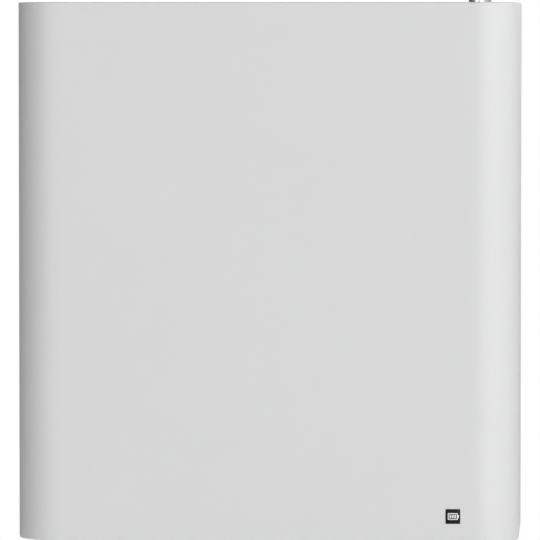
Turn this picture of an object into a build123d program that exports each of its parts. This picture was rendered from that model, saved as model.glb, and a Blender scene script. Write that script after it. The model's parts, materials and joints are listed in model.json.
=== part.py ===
from build123d import *
from math import cos, radians, sin
import os

# Wall-hung lithium battery unit for a home energy store.
# Frame: the wall is the plane Y = 0 and the unit stands out of it along -Y. +X is to the right for
# a person who faces the unit and +Z is up. The origin is the centre of the wall bracket's four
# anchor holes. All sizes are millimetres.

# ---------------------------------------------------------------- overall size
WIDTH = 452.0
HEIGHT = 484.0
DEPTH = 227.0
TOP_Z = 120.0
BOTTOM_Z = TOP_Z - HEIGHT
FRONT_Y = -DEPTH

# ---------------------------------------------------------------- front cover
COVER_T = 1.5
COVER_REAR_Y = -37.0
COVER_EDGE_R = 40.0
COVER_LIP_R = 1.4
COVER_TOP_FLANGE = 8.0
COVER_BOTTOM_FLANGE = 12.0
COVER_REAR_CORNER_R = 12.0
COVER_INNER_Y = FRONT_Y + COVER_T
BADGE_X = 167.5
BADGE_Z = BOTTOM_Z + 23.7
BADGE_SIDE = 13.2
BADGE_CORNER_R = 0.5
BADGE_T = 0.5

# ---------------------------------------------------------------- housing sheet metal
HOUSING_HALF = 212.0
HOUSING_TOP = TOP_Z - 12.0
HOUSING_BOTTOM = BOTTOM_Z + 4.0
HOUSING_HEIGHT = HOUSING_TOP - HOUSING_BOTTOM
HOUSING_MID_Z = (HOUSING_TOP + HOUSING_BOTTOM) / 2
HOUSING_CORNER_R = 5.0
SHEET = 2.0
FLANGE = 14.0
HOLE_FIT = 0.2
BACK_Y = -36.0
BACK_T = 5.0
TUB_REAR_Y = BACK_Y - BACK_T
SILL_LOW = -2.0
SILL_HIGH = 24.0
SHELF_Z = 10.0
SHELF_T = 2.0
SHELF_SLOT_X = 60.0
SHELF_SLOT_HALF = 16.0
SHELF_SLOT_Y = (-78.0, -66.0)

# ---------------------------------------------------------------- lids, gaskets and lid screws
GASKET_T = 1.5
GASKET_W = 5.0
LID_T = 2.0
LID_EDGE = 4.0
LID_CORNER_R = 4.0
LID_OVERLAP = 11.0
LID_HALF = HOUSING_HALF - LID_EDGE
LID_FRONT_Y = -207.0
LID_REAR_Y = LID_FRONT_Y + LID_T
TUB_FRONT_Y = LID_REAR_Y + GASKET_T
CELL_LID_Z = (HOUSING_BOTTOM + LID_EDGE, SILL_LOW + LID_OVERLAP)
WIRING_LID_Z = (SILL_HIGH - LID_OVERLAP, HOUSING_TOP - LID_EDGE)
RIB_W = 14.0
RIB_T = 1.6
RIB_TAPER = 25
CELL_LID_RIB_ZS = (-290.0, -230.0, -90.0, -40.0)
CELL_LID_RIB_HALF = 150.0
WIRING_LID_RIB_ZS = (58.0,)
WIRING_LID_RIB_HALF = 110.0
LID_SCREW_INSET = 4.0
LID_SCREW_R = 3.4
LID_SCREW_T = 2.4
LID_SCREW_SOCKET_R = 1.7
LID_SCREW_COLUMNS = 5
LID_SCREW_SPREAD = 2.25
CELL_LID_SCREW_ROWS = 4
WIRING_LID_SCREW_ROWS = 1

# ---------------------------------------------------------------- rear heat sink
SINK_HALF = 161.0
SINK_BASE_T = 3.0
SINK_LOW = -345.0
SINK_HIGH = -70.0
FIN_PITCH = 14.0
FIN_COUNT = 23
FIN_T = 2.2
FIN_TIP_Y = -18.0

# ---------------------------------------------------------------- wall bracket and hooks
BRACKET_HALF = 180.0
BRACKET_T = 2.5
BRACKET_LOW = -40.0
BRACKET_SHELF = 30.0
BRACKET_LIP = 48.0
BRACKET_REACH = 14.0
BRACKET_FOOT = 10.0
ANCHOR_DX = 300.0
ANCHOR_DZ = 30.0
ANCHOR_R = 4.5
HOOK_X = 100.0
HOOK_W = 60.0
HOOK_T = 3.0
HOOK_LOW = 10.0
HOOK_TAIL_Y = -5.0
HOOK_TAIL_LOW = 33.0
HOOK_SCREW_DX = 20.0
HOOK_SCREW_ZS = (18.0, 38.0)
HOOK_SCREW_R = 5.0
HOOK_SCREW_T = 3.5
HOOK_SCREW_SOCKET = (2.9, 2.0)

# ---------------------------------------------------------------- carry handles and wall spacers
HANDLE_X = 188.0
HANDLE_Z = (-265.0, -145.0)
HANDLE_TIP_Y = -6.0
HANDLE_BAR = 7.0
HANDLE_W = 24.0
HANDLE_OUTER_R = 10.0
HANDLE_INNER_R = 5.0
HANDLE_FOOT = 16.0
HANDLE_FOOT_T = 4.0
HANDLE_OVERLAP = 1.0
HANDLE_SCREW_DX = 5.0
HANDLE_SCREW_R = 3.6
HANDLE_SCREW_T = 2.5
HANDLE_SCREW_SOCKET = (1.8, 1.4)
SPACER_X = 188.0
SPACER_Z = -325.0
SPACER_R = 14.0
SPACER_EDGE = 1.5

# ---------------------------------------------------------------- cover clips and ball studs
CLIP_X = 178.0
CLIP_ZS = (88.0, -150.0, -332.0)
CLIP_R = 8.0
CLIP_REAR_Y = LID_FRONT_Y - 6.0
CLIP_BACK_T = 3.0
CLIP_FIT = 0.4
CLIP_SLIT_HALF = 1.0
CLIP_SLIT_REACH = 10.0
CLIP_SLIT_BACK = 5.0
BALL_R = 4.0
BALL_NECK_R = 2.2
BALL_FOOT_R = 5.0
BALL_FOOT_T = 2.0
BALL_Y = LID_FRONT_Y - 9.0

# ---------------------------------------------------------------- vent valve and ground stud
VENT_X = -150.0
VENT_Y = -120.0
VENT_R = 6.0
VENT_DEPTH = 8.0
VENT_CAP_R = 10.0
VENT_CAP_T = 4.0
VENT_SLOT_R = 9.5
VENT_SLOTS = 8
VENT_SLOT_SIZE = (2.5, 2.0)
STUD_X = -190.0
STUD_Y = -70.0
GROUND_R = 3.0
GROUND_TOP = HOUSING_TOP + 11.0
GROUND_NECK_R = 2.7
GROUND_HEAD_T = 3.0
GROUND_NUT_R = 5.8
GROUND_NUT_TOP = HOUSING_TOP + 4.5
GROUND_NECK_TOP = GROUND_NUT_TOP + 0.5
GROUND_WASHER_R = 7.0
GROUND_WASHER_T = 1.0

# ---------------------------------------------------------------- cable glands
GLAND_X = 189.0
GLAND_YS = (-70.0, -110.0, -150.0)
GLAND_HEX_R = 13.5
GLAND_THREAD_R = 10.0
GLAND_THREAD_L = 12.0
GLAND_BORE_R = 6.0
GLAND_FLANGE_T = 5.0
GLAND_NUT_LOW = HOUSING_TOP + GLAND_FLANGE_T
GLAND_NUT_GAP = 0.3
GLAND_HEX_TOP = GLAND_NUT_LOW + 7.0
GLAND_NUT_TOP = HOUSING_TOP + 19.5
GLAND_DOME_R = 9.5
GLAND_DOME_EDGE_R = 2.9
GLAND_STUB_R = 9.2
GLAND_STUB_TOP = GLAND_NUT_LOW + 5.0
GLAND_NUT_BORE_R = GLAND_STUB_R + 0.1
GLAND_LOCKNUT_T = 4.5
SEAL_R = 6.4
SEAL_LOW = GLAND_STUB_TOP + 0.4
CABLE_R = 5.0

# ---------------------------------------------------------------- breaker, tray and flap
TRAY_Y = -120.0
TRAY_HALF_X = 45.0
TRAY_HALF_Y = 30.0
TRAY_RIM = 5.0
TRAY_FLOOR_Z = 92.0
TRAY_TOP_Z = HOUSING_TOP + 2.0
TRAY_SPAN_Y = (TRAY_Y - TRAY_HALF_Y, TRAY_Y + TRAY_HALF_Y)
PIN_R = 1.5
HINGE_FIT = 0.05
FLAP_AXIS_Y = -82.0
FLAP_AXIS_Z = TRAY_TOP_Z + 4.0
FLAP_T = 2.5
FLAP_LOW = TRAY_TOP_Z + 0.4
FLAP_HALF_X = TRAY_HALF_X + 6.0
FLAP_CORNER_R = 4.0
FLAP_EDGE = 0.6
FLAP_OVERLAP = 1.0
FLAP_GRIP_HALF = 14.0
FLAP_GRIP_DEPTH = 3.0
FLAP_GRIP_T = 1.2
KNUCKLE_R = 3.0
KNUCKLE_HALF = 28.0
KNUCKLE_GAP = 0.5
HINGE_HALF = KNUCKLE_HALF + 10.0
FLAP_REAR_Y = FLAP_AXIS_Y - KNUCKLE_R - 0.6
FLAP_FRONT_Y = TRAY_Y - TRAY_HALF_Y - 6.0
BREAKER_HALF_X = 18.0
BREAKER_FRONT = 20.0
BREAKER_REAR = 35.0
BREAKER_FOOT_GAP = 4.0
BREAKER_STEP_Z = 82.0
TOGGLE_Z = 86.0
TOGGLE_HUB_R = 7.0
TOGGLE_REACH = 19.0
TOGGLE_HALF_X = 12.0
TOGGLE_T = 5.0
TOGGLE_TIP_R = 1.5
TOGGLE_REST_DEG = 35.0
TOGGLE_ROOM = 0.4
TOGGLE_SLOT_Y = 14.0
TOGGLE_SLOT_SIDE = 1.0
AXLE_R = 2.0
AXLE_HALF = TOGGLE_HALF_X + 4.0

# ---------------------------------------------------------------- power button and status lamps
BUTTON_X = 140.0
BUTTON_Y = -120.0
BUTTON_R = 6.2
BUTTON_EDGE = 0.5
BUTTON_FIT = 0.08
BUTTON_TRAVEL = 2.5
BEZEL_R = 11.0
BEZEL_EDGE = 0.8
BEZEL_BODY_R = 8.2
BEZEL_TOP_Z = HOUSING_TOP + 3.0
BEZEL_FLOOR_T = 2.0
BEZEL_NUT_R = 12.0
BEZEL_NUT_T = 3.5
BUTTON_TOP_Z = BEZEL_TOP_Z + BUTTON_TRAVEL
SPRING_LOW_Z = 88.0
SPRING_H = 8.0
SPRING_R = 4.0
SPRING_WIRE_R = 0.5
SPRING_TURNS = 4
LENS_X = 98.0
LENS_HALF_X = 15.0
LENS_HALF_Y = 3.5
LENS_FIT = 0.1
LENS_DEPTH = 4.0
LENS_RIM = 3.0
LENS_RIM_T = 0.8
LAMP_COUNT = 5
LAMP_PITCH = 6.0
LAMP_HALF = 1.5
STATUS_BOARD_HALF = (20.0, 8.0)
STATUS_BOARD_Z = (HOUSING_TOP - 9.0, HOUSING_TOP - 7.4)
LAMP_TOP_Z = HOUSING_TOP - 6.0

# ---------------------------------------------------------------- cells
CELLS_PER_STACK = 21
CELL_T = 8.4
CELL_GAP = 0.7
CELL_Y = -123.0
CELL_DEPTH = 150.0
CELL_SPAN_Y = (CELL_Y - CELL_DEPTH / 2, CELL_Y + CELL_DEPTH / 2)
CELL_LOW = -350.0
CELL_HIGH = -20.0
CELL_PITCH = CELL_T + CELL_GAP
STACK_X = 103.5
STACK_XS = (-STACK_X, STACK_X)
STACK_L = CELLS_PER_STACK * CELL_PITCH - CELL_GAP
STACK_HALF = STACK_L / 2 + CELL_GAP
PAD_INSET = 10.0
PAD_FIT = 0.05
END_PLATE_T = 3.5
END_PLATE_SQUEEZE = 0.2
BAND_T = 0.8
BAND_W = 16.0
BAND_ZS = (-300.0, -185.0, -70.0)
FLOOR_RAIL_DY = 50.0
FLOOR_RAIL_HALF = 12.0
FLOOR_RAIL_HALF_X = HOUSING_HALF - 6.0
HOLD_RAIL_DY = 66.0
HOLD_RAIL_HALF = 5.0
HOLD_RAIL_H = 9.0
HOLD_RAIL_T = 2.0
HOLD_RAIL_HALF_X = HOUSING_HALF - 4.0
TAB_W = 40.0
TAB_T = 0.8
TAB_TOP = CELL_HIGH + 10.0
TAB_DY = 40.0
BUSBAR_T = 2.5
BUSBAR_TOP = TAB_TOP + BUSBAR_T
BUSBAR_OVERHANG = 3.0
BUSBAR_INSET = 2.0
PARALLEL_CELLS = 3
SENSE_Z = BUSBAR_TOP + 3.0
SENSE_HALF_X = 92.0
SENSE_HALF_Y = 18.0
SENSE_POST_X = 85.0
SENSE_SOCKET_X = (-80.0, -60.0)
SENSE_SOCKET_H = 5.4
SENSE_CHIP_X = (20.0, 32.0)
SENSE_CHIP_H = 1.4
SENSE_PART_HALF_Y = 6.0

# ---------------------------------------------------------------- boards in the wiring bay
BAY_FLOOR = SHELF_Z + SHELF_T
BOARD_Y = TUB_REAR_Y - 8.0
BOARD_T = 1.6
BOARD_FACE = BOARD_Y - BOARD_T
STANDOFF_R = 3.0
BMS_X = (-195.0, -62.0)
BMS_Z = (18.0, 92.0)
BMS_STANDOFF_INSET = 6.0
# Board parts as left, right, low and high edges, then the height above the board.
BMS_CHIPS = ((-188.0, -168.0, 40.0, 60.0, 2.0), (-160.0, -148.0, 44.0, 56.0, 1.4))
BMS_SOCKETS = [(-188.0 + 22.0 * index, -172.0 + 22.0 * index, 28.0, 34.0, 9.0) for index in range(3)]
BMS_SHUNTS = [(-118.0 + 8.0 * index, -112.0 + 8.0 * index, 30.0, 40.0, 4.0) for index in range(6)]
CAPACITOR_XS = (-184.0, -170.0, -156.0, -142.0)
CAPACITOR_Z = 82.0
CAPACITOR_R = 5.0
CAPACITOR_H = 14.0
SPREADER_X = (-124.0, -70.0)
SPREADER_Z = (46.0, 92.0)
SPREADER_T = 4.0
SPREADER_FINS = 9
SPREADER_FIN_PITCH = 6.4
SPREADER_FIN_T = 1.4
SPREADER_FIN_L = 10.0
COMMS_X = (84.0, 166.0)
COMMS_Z = (26.0, 84.0)
COMMS_STANDOFF_INSET = 5.0
COMMS_CHIP = (92.0, 106.0, 60.0, 74.0, 1.6)
SOCKET_XS = (104.0, 124.0, 144.0)
SOCKET_Z = (36.0, 50.0)
SOCKET_HALF = 8.0
SOCKET_L = 18.0
SOCKET_BACK_T = 4.0
PORT_HALF = 5.9
PORT_Z = (40.0, 47.0)
PORT_KEY_HALF = 2.0
PORT_KEY_LOW = 38.0

# ---------------------------------------------------------------- power parts in the wiring bay
CONTACTOR_XS = (-44.0, 44.0)
CONTACTOR_HALF = 17.0
CONTACTOR_SPAN_Y = (-80.0, -50.0)
CONTACTOR_TOP = 66.0
CONTACTOR_LID_H = 14.0
CONTACTOR_LID_INSET = 2.0
CONTACTOR_POST_DX = 8.0
CONTACTOR_POST_Y = -64.0
CONTACTOR_POST_R = 3.0
CONTACTOR_POST_H = 8.0
RELAY_HALF = 10.0
RELAY_SPAN_Y = (-74.0, -50.0)
RELAY_H = 22.0
RELAY_LID_H = 2.0
FUSE_X = (-120.0, -72.0)
FUSE_Y = -165.0
FUSE_Z = 34.0
FUSE_R = 13.0
FUSE_CAP_R = 14.0
FUSE_CAP_T = 3.0
FUSE_BLADE_L = 22.0
FUSE_BLADE_HALF = 8.0
FUSE_BLADE_T = 3.0
FUSE_BASE_H = 5.0
FUSE_BASE_HALF_Y = 14.0
FUSE_BASE_OVERHANG = 24.0
FUSE_POST_OVERHANG = 14.0
FUSE_POST_HALF = (8.0, 10.0)
FUSE_BLADE_Z = (FUSE_Z - FUSE_BLADE_T / 2, FUSE_Z + FUSE_BLADE_T / 2)
SHUNT_BASE_X = (22.0, 74.0)
SHUNT_BASE_HALF_Y = 12.0
SHUNT_BASE_H = 4.0
SHUNT_END_XS = ((22.0, 34.0), (62.0, 74.0))
SHUNT_END_HALF_Y = 10.0
SHUNT_TOP = BAY_FLOOR + 16.0
SHUNT_STRIP_DYS = (-7.5, -2.5, 2.5, 7.5)
SHUNT_STRIP_HALF = 0.7
SHUNT_STRIP_Z = (BAY_FLOOR + 6.0, BAY_FLOOR + 14.0)
FUSE_BAR_X = (-64.0, 24.0)
DROP_BAR_X = (21.0, 24.0)
TERMINAL_BAR_X = (64.0, 150.0)
POWER_BAR_T = 3.0
POWER_BAR_HALF = 7.0
FEED_BAR_X = 60.0
FEED_BAR_HALF = 9.0
FEED_BAR_Y = (-74.2, -71.2)
FEED_BAR_Z = (BUSBAR_TOP + 0.2, 10.0)
TERMINAL_X = 176.0
TERMINAL_YS = (-164.0, -128.0)
TERMINAL_Z = BAY_FLOOR + 16.0
TERMINAL_BASE_HALF = 26.0
TERMINAL_BASE_Y = (-182.0, -110.0)
TERMINAL_BASE_H = 8.0
TERMINAL_PAD_HALF = (18.0, 12.0)
TERMINAL_WALL_HALF = 24.0
TERMINAL_WALL_Y = (-147.5, -144.5)
TERMINAL_WALL_H = 22.0
TERMINAL_STUD_R = 4.0
TERMINAL_STUD_H = 24.0
TERMINAL_NUT_R = 7.5
TERMINAL_NUT_H = 8.0
TERMINAL_WASHER_R = 8.0
TERMINAL_WASHER_T = 1.6

os.makedirs("parts", exist_ok=True)


# ================================================================ helpers
def save(piece, label):
    """Label a finished piece and write its STEP file."""
    piece.part.label = label
    export_step(piece.part, f"parts/{label}.step")
    print(label, "solids", len(piece.part.solids()), "volume", round(piece.part.volume))


def both(value):
    """The range from minus a value to plus that value."""
    return (-value, value)


def around(centre, half):
    """The range that reaches equally far to either side of a centre."""
    return (centre - half, centre + half)


def block(x, y, z, mode=Mode.ADD):
    """A box between two coordinates on each axis, in the current part."""
    middle = [(low + high) / 2 for low, high in (x, y, z)]
    with Locations(tuple(middle)):
        Box(abs(x[1] - x[0]), abs(y[1] - y[0]), abs(z[1] - z[0]), mode=mode)


def rod_z(x, y, radius, low, high, mode=Mode.ADD):
    """An upright cylinder in the current part."""
    with Locations((x, y, (low + high) / 2)):
        Cylinder(radius, high - low, mode=mode)


def rod_y(x, z, radius, rear, front, mode=Mode.ADD):
    """A cylinder that runs from the rear to the front, in the current part."""
    with Locations((x, (rear + front) / 2, z)):
        Cylinder(radius, abs(rear - front), rotation=(90, 0, 0), mode=mode)


def rod_x(y, z, radius, left, right, mode=Mode.ADD):
    """A cylinder that runs from left to right, in the current part."""
    with Locations(((left + right) / 2, y, z)):
        Cylinder(radius, right - left, rotation=(0, 90, 0), mode=mode)


def hexagon_z(x, y, radius, low, high):
    """An upright hexagonal prism with a corner towards +X, in the current part."""
    with BuildSketch(Plane.XY.offset(low)) as outline:
        with Locations((x, y)):
            RegularPolygon(radius, 6)
    extrude(outline.sketch, amount=high - low)


def board_part(left, right, low, high, height):
    """A component on the front face of an upright circuit board, in the current part."""
    block((left, right), (BOARD_FACE - height, BOARD_FACE), (low, high))


# ================================================================ wall bracket (stays on the wall)
with BuildPart() as wall_bracket:
    with BuildSketch(Plane.YZ.offset(-BRACKET_HALF)):
        with BuildLine():
            Polyline(
                (0, BRACKET_LOW),
                (0, BRACKET_SHELF),
                (BRACKET_T - BRACKET_REACH, BRACKET_SHELF),
                (BRACKET_T - BRACKET_REACH, BRACKET_LIP),
                (-BRACKET_REACH, BRACKET_LIP),
                (-BRACKET_REACH, BRACKET_SHELF - BRACKET_T),
                (-BRACKET_T, BRACKET_SHELF - BRACKET_T),
                (-BRACKET_T, BRACKET_LOW + BRACKET_T),
                (-BRACKET_FOOT, BRACKET_LOW + BRACKET_T),
                (-BRACKET_FOOT, BRACKET_LOW),
                close=True,
            )
        make_face()
    extrude(amount=2 * BRACKET_HALF)
    with BuildSketch(Plane.XZ):
        with GridLocations(ANCHOR_DX, ANCHOR_DZ, 2, 2):
            Circle(ANCHOR_R)
    extrude(amount=BRACKET_T, mode=Mode.SUBTRACT)
save(wall_bracket, "wall_bracket")


# ================================================================ housing
with BuildPart() as housing_tub:
    with BuildSketch(Plane.XZ.offset(-TUB_REAR_Y)):
        with Locations((0, HOUSING_MID_Z)):
            RectangleRounded(2 * HOUSING_HALF, HOUSING_HEIGHT, HOUSING_CORNER_R)
    extrude(amount=TUB_REAR_Y - TUB_FRONT_Y)
    block(
        both(HOUSING_HALF - SHEET),
        (TUB_FRONT_Y + SHEET, TUB_REAR_Y - SHEET),
        (HOUSING_BOTTOM + SHEET, HOUSING_TOP - SHEET),
        Mode.SUBTRACT,
    )
    window = both(HOUSING_HALF - FLANGE)
    rear_z = (HOUSING_BOTTOM + FLANGE, HOUSING_TOP - FLANGE)
    block(window, (TUB_REAR_Y - SHEET, TUB_REAR_Y), rear_z, Mode.SUBTRACT)
    for front_z in ((HOUSING_BOTTOM + FLANGE, SILL_LOW), (SILL_HIGH, HOUSING_TOP - FLANGE)):
        block(window, (TUB_FRONT_Y, TUB_FRONT_Y + SHEET), front_z, Mode.SUBTRACT)
    plate = (HOUSING_TOP - SHEET, HOUSING_TOP)
    for gland_y in GLAND_YS:
        rod_z(GLAND_X, gland_y, GLAND_THREAD_R + HOLE_FIT, *plate, mode=Mode.SUBTRACT)
    block(
        both(TRAY_HALF_X + HOLE_FIT),
        around(TRAY_Y, TRAY_HALF_Y + HOLE_FIT),
        plate,
        Mode.SUBTRACT,
    )
    rod_z(BUTTON_X, BUTTON_Y, BEZEL_BODY_R + HOLE_FIT, *plate, mode=Mode.SUBTRACT)
    rod_z(VENT_X, VENT_Y, VENT_R + HOLE_FIT, *plate, mode=Mode.SUBTRACT)
    rod_z(STUD_X, STUD_Y, GROUND_R + HOLE_FIT, *plate, mode=Mode.SUBTRACT)
    block(
        around(LENS_X, LENS_HALF_X + LENS_FIT),
        around(BUTTON_Y, LENS_HALF_Y + LENS_FIT),
        plate,
        Mode.SUBTRACT,
    )
save(housing_tub, "housing_tub")

with BuildPart() as housing_back:
    with BuildSketch(Plane.XZ.offset(-BACK_Y)):
        with Locations((0, HOUSING_MID_Z)):
            RectangleRounded(2 * HOUSING_HALF, HOUSING_HEIGHT, HOUSING_CORNER_R)
    extrude(amount=BACK_T)
save(housing_back, "housing_back")

SINK_FACE_Y = BACK_Y + SINK_BASE_T
with BuildPart() as rear_heat_sink:
    block(both(SINK_HALF), (BACK_Y, SINK_FACE_Y), (SINK_LOW, SINK_HIGH))
    with BuildSketch(Plane.XY.offset(SINK_LOW)):
        with Locations((0, (SINK_FACE_Y + FIN_TIP_Y) / 2)):
            with GridLocations(FIN_PITCH, 0, FIN_COUNT, 1):
                Rectangle(FIN_T, FIN_TIP_Y - SINK_FACE_Y)
    extrude(amount=SINK_HIGH - SINK_LOW)
save(rear_heat_sink, "rear_heat_sink")

with BuildPart() as divider_shelf:
    shelf_z = (SHELF_Z, SHELF_Z + SHELF_T)
    block(both(HOUSING_HALF - SHEET), (TUB_FRONT_Y + SHEET, TUB_REAR_Y - SHEET), shelf_z)
    for slot_x in both(SHELF_SLOT_X):
        block(around(slot_x, SHELF_SLOT_HALF), SHELF_SLOT_Y, shelf_z, Mode.SUBTRACT)
save(divider_shelf, "divider_shelf")

with BuildPart() as one_hook:
    with BuildSketch(Plane.YZ):
        with BuildLine():
            Polyline(
                (BACK_Y, HOOK_LOW),
                (BACK_Y, BRACKET_LIP + HOOK_T),
                (HOOK_TAIL_Y, BRACKET_LIP + HOOK_T),
                (HOOK_TAIL_Y, HOOK_TAIL_LOW),
                (HOOK_TAIL_Y - HOOK_T, HOOK_TAIL_LOW),
                (HOOK_TAIL_Y - HOOK_T, BRACKET_LIP),
                (BACK_Y + HOOK_T, BRACKET_LIP),
                (BACK_Y + HOOK_T, HOOK_LOW),
                close=True,
            )
        make_face()
    extrude(amount=HOOK_W / 2, both=True)

with BuildPart() as hanging_hooks:
    with Locations((-HOOK_X, 0, 0), (HOOK_X, 0, 0)):
        add(one_hook.part)
save(hanging_hooks, "hanging_hooks")


# ---------------------------------------------------------------- lids, gaskets and lid screws
def lid(z, rib_zs, rib_half):
    """A flat sheet lid with raised stiffening ribs across it, in the current part."""
    with BuildSketch(Plane.XZ.offset(-LID_REAR_Y)) as sheet:
        with Locations((0, (z[0] + z[1]) / 2)):
            RectangleRounded(2 * LID_HALF, z[1] - z[0], LID_CORNER_R)
    extrude(sheet.sketch, amount=LID_T)
    with BuildSketch(Plane.XZ.offset(-LID_FRONT_Y)) as ribs:
        for rib_z in rib_zs:
            with Locations((0, rib_z)):
                SlotOverall(2 * rib_half, RIB_W)
    extrude(ribs.sketch, amount=RIB_T, taper=RIB_TAPER)


def gasket(z):
    """A closed rectangular seal under a lid, in the current part."""
    with BuildSketch(Plane.XZ.offset(-TUB_FRONT_Y)) as seal:
        with Locations((0, (z[0] + z[1]) / 2)):
            Rectangle(2 * LID_HALF, z[1] - z[0])
            Rectangle(2 * (LID_HALF - GASKET_W), z[1] - z[0] - 2 * GASKET_W, mode=Mode.SUBTRACT)
    extrude(seal.sketch, amount=GASKET_T)


def lid_screw_places(z, rows):
    """Screw centres round a lid's edge: two upright columns and a line along its top and bottom."""
    low, high = z[0] + LID_SCREW_INSET, z[1] - LID_SCREW_INSET
    reach = LID_HALF - LID_SCREW_INSET
    places = []
    for step in range(rows):
        row_z = low + (high - low) * (step + 0.5) / rows
        places += [(-reach, row_z), (reach, row_z)]
    for step in range(LID_SCREW_COLUMNS):
        column_x = (step - (LID_SCREW_COLUMNS - 1) / 2) * reach / LID_SCREW_SPREAD
        places += [(column_x, low), (column_x, high)]
    return places


with BuildPart() as cell_bay_lid:
    lid(CELL_LID_Z, CELL_LID_RIB_ZS, CELL_LID_RIB_HALF)
save(cell_bay_lid, "cell_bay_lid")

with BuildPart() as wiring_bay_lid:
    lid(WIRING_LID_Z, WIRING_LID_RIB_ZS, WIRING_LID_RIB_HALF)
save(wiring_bay_lid, "wiring_bay_lid")

with BuildPart() as lid_gaskets:
    gasket(CELL_LID_Z)
    gasket(WIRING_LID_Z)
save(lid_gaskets, "lid_gaskets")

with BuildPart() as lid_screws:
    with BuildSketch(Plane.XZ.offset(-LID_FRONT_Y)):
        with Locations(
            *lid_screw_places(CELL_LID_Z, CELL_LID_SCREW_ROWS),
            *lid_screw_places(WIRING_LID_Z, WIRING_LID_SCREW_ROWS),
        ):
            Circle(LID_SCREW_R)
            RegularPolygon(LID_SCREW_SOCKET_R, 6, mode=Mode.SUBTRACT)
    extrude(amount=LID_SCREW_T)
save(lid_screws, "lid_screws")

# ---------------------------------------------------------------- small pieces outside the housing
CLIP_PLACES = [(x, z) for x in both(CLIP_X) for z in CLIP_ZS]

with BuildPart() as cover_ball_studs:
    for x, z in CLIP_PLACES:
        rod_y(x, z, BALL_FOOT_R, LID_FRONT_Y, LID_FRONT_Y - BALL_FOOT_T)
        rod_y(x, z, BALL_NECK_R, LID_FRONT_Y, BALL_Y)
        with Locations((x, BALL_Y, z)):
            Sphere(BALL_R)
save(cover_ball_studs, "cover_ball_studs")

with BuildPart() as wall_spacers:
    for x in both(SPACER_X):
        rod_y(x, SPACER_Z, SPACER_R, 0, BACK_Y)
    chamfer(wall_spacers.faces().sort_by(Axis.Y)[-2:].edges(), SPACER_EDGE)
save(wall_spacers, "wall_spacers")


def carry_handle(x):
    """A bridge-shaped grip on the back plate, in the current part."""
    width = around(x, HANDLE_W / 2)
    reach = HANDLE_TIP_Y - BACK_Y
    low, high = HANDLE_Z
    inner_length = high - low - 2 * HANDLE_BAR
    with BuildSketch(Plane.YZ.offset(width[0])) as bridge:
        with Locations((BACK_Y, (low + high) / 2)):
            RectangleRounded(2 * reach, high - low, HANDLE_OUTER_R)
            RectangleRounded(
                2 * (reach - HANDLE_BAR), inner_length, HANDLE_INNER_R, mode=Mode.SUBTRACT
            )
    extrude(bridge.sketch, amount=HANDLE_W)
    block(width, (BACK_Y - reach, BACK_Y), HANDLE_Z, Mode.SUBTRACT)
    for foot_z in ((low - HANDLE_FOOT, low + HANDLE_OVERLAP), (high - HANDLE_OVERLAP, high + HANDLE_FOOT)):
        block(width, (BACK_Y, BACK_Y + HANDLE_FOOT_T), foot_z)


with BuildPart() as carry_handle_left:
    carry_handle(-HANDLE_X)
save(carry_handle_left, "carry_handle_left")

with BuildPart() as carry_handle_right:
    carry_handle(HANDLE_X)
save(carry_handle_right, "carry_handle_right")

HOOK_SCREWS = [
    (hook_x + dx, z)
    for hook_x in both(HOOK_X)
    for dx in both(HOOK_SCREW_DX)
    for z in HOOK_SCREW_ZS
]
HANDLE_SCREWS = [
    (handle_x + dx, z)
    for handle_x in both(HANDLE_X)
    for dx in both(HANDLE_SCREW_DX)
    for z in (HANDLE_Z[0] - HANDLE_FOOT / 2, HANDLE_Z[1] + HANDLE_FOOT / 2)
]


def socket_heads(places, radius, seat_y, height, socket):
    """Socket-head screws that face the wall, in the current part."""
    top_y = seat_y + height
    socket_r, socket_depth = socket
    with BuildSketch(Plane.XZ.offset(-seat_y)) as heads:
        with Locations(*places):
            Circle(radius)
    extrude(heads.sketch, amount=-height)
    with BuildSketch(Plane.XZ.offset(-top_y)) as sockets:
        with Locations(*places):
            RegularPolygon(socket_r, 6)
    extrude(sockets.sketch, amount=socket_depth, mode=Mode.SUBTRACT)


with BuildPart() as back_screws:
    socket_heads(HOOK_SCREWS, HOOK_SCREW_R, BACK_Y + HOOK_T, HOOK_SCREW_T, HOOK_SCREW_SOCKET)
    socket_heads(
        HANDLE_SCREWS, HANDLE_SCREW_R, BACK_Y + HANDLE_FOOT_T, HANDLE_SCREW_T, HANDLE_SCREW_SOCKET
    )
save(back_screws, "back_screws")

with BuildPart() as vent_valve:
    rod_z(VENT_X, VENT_Y, VENT_R, HOUSING_TOP - VENT_DEPTH, HOUSING_TOP)
    rod_z(VENT_X, VENT_Y, VENT_CAP_R, HOUSING_TOP, HOUSING_TOP + VENT_CAP_T)
    with Locations((VENT_X, VENT_Y, HOUSING_TOP + VENT_CAP_T / 2)):
        with PolarLocations(VENT_SLOT_R, VENT_SLOTS):
            Box(*VENT_SLOT_SIZE, VENT_CAP_T, mode=Mode.SUBTRACT)
save(vent_valve, "vent_valve")

with BuildPart() as ground_stud:
    head_top = HOUSING_TOP - SHEET
    rod_z(STUD_X, STUD_Y, GROUND_NECK_R, head_top, GROUND_NECK_TOP)
    rod_z(STUD_X, STUD_Y, GROUND_R, GROUND_NECK_TOP, GROUND_TOP)
    rod_z(STUD_X, STUD_Y, 2 * GROUND_R, head_top - GROUND_HEAD_T, head_top)
save(ground_stud, "ground_stud")

with BuildPart() as ground_nut:
    hexagon_z(STUD_X, STUD_Y, GROUND_NUT_R, HOUSING_TOP + GROUND_WASHER_T, GROUND_NUT_TOP)
    rod_z(STUD_X, STUD_Y, GROUND_WASHER_R, HOUSING_TOP, HOUSING_TOP + GROUND_WASHER_T)
    rod_z(STUD_X, STUD_Y, GROUND_NECK_R, HOUSING_TOP, GROUND_NUT_TOP, Mode.SUBTRACT)
save(ground_nut, "ground_nut")

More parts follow.
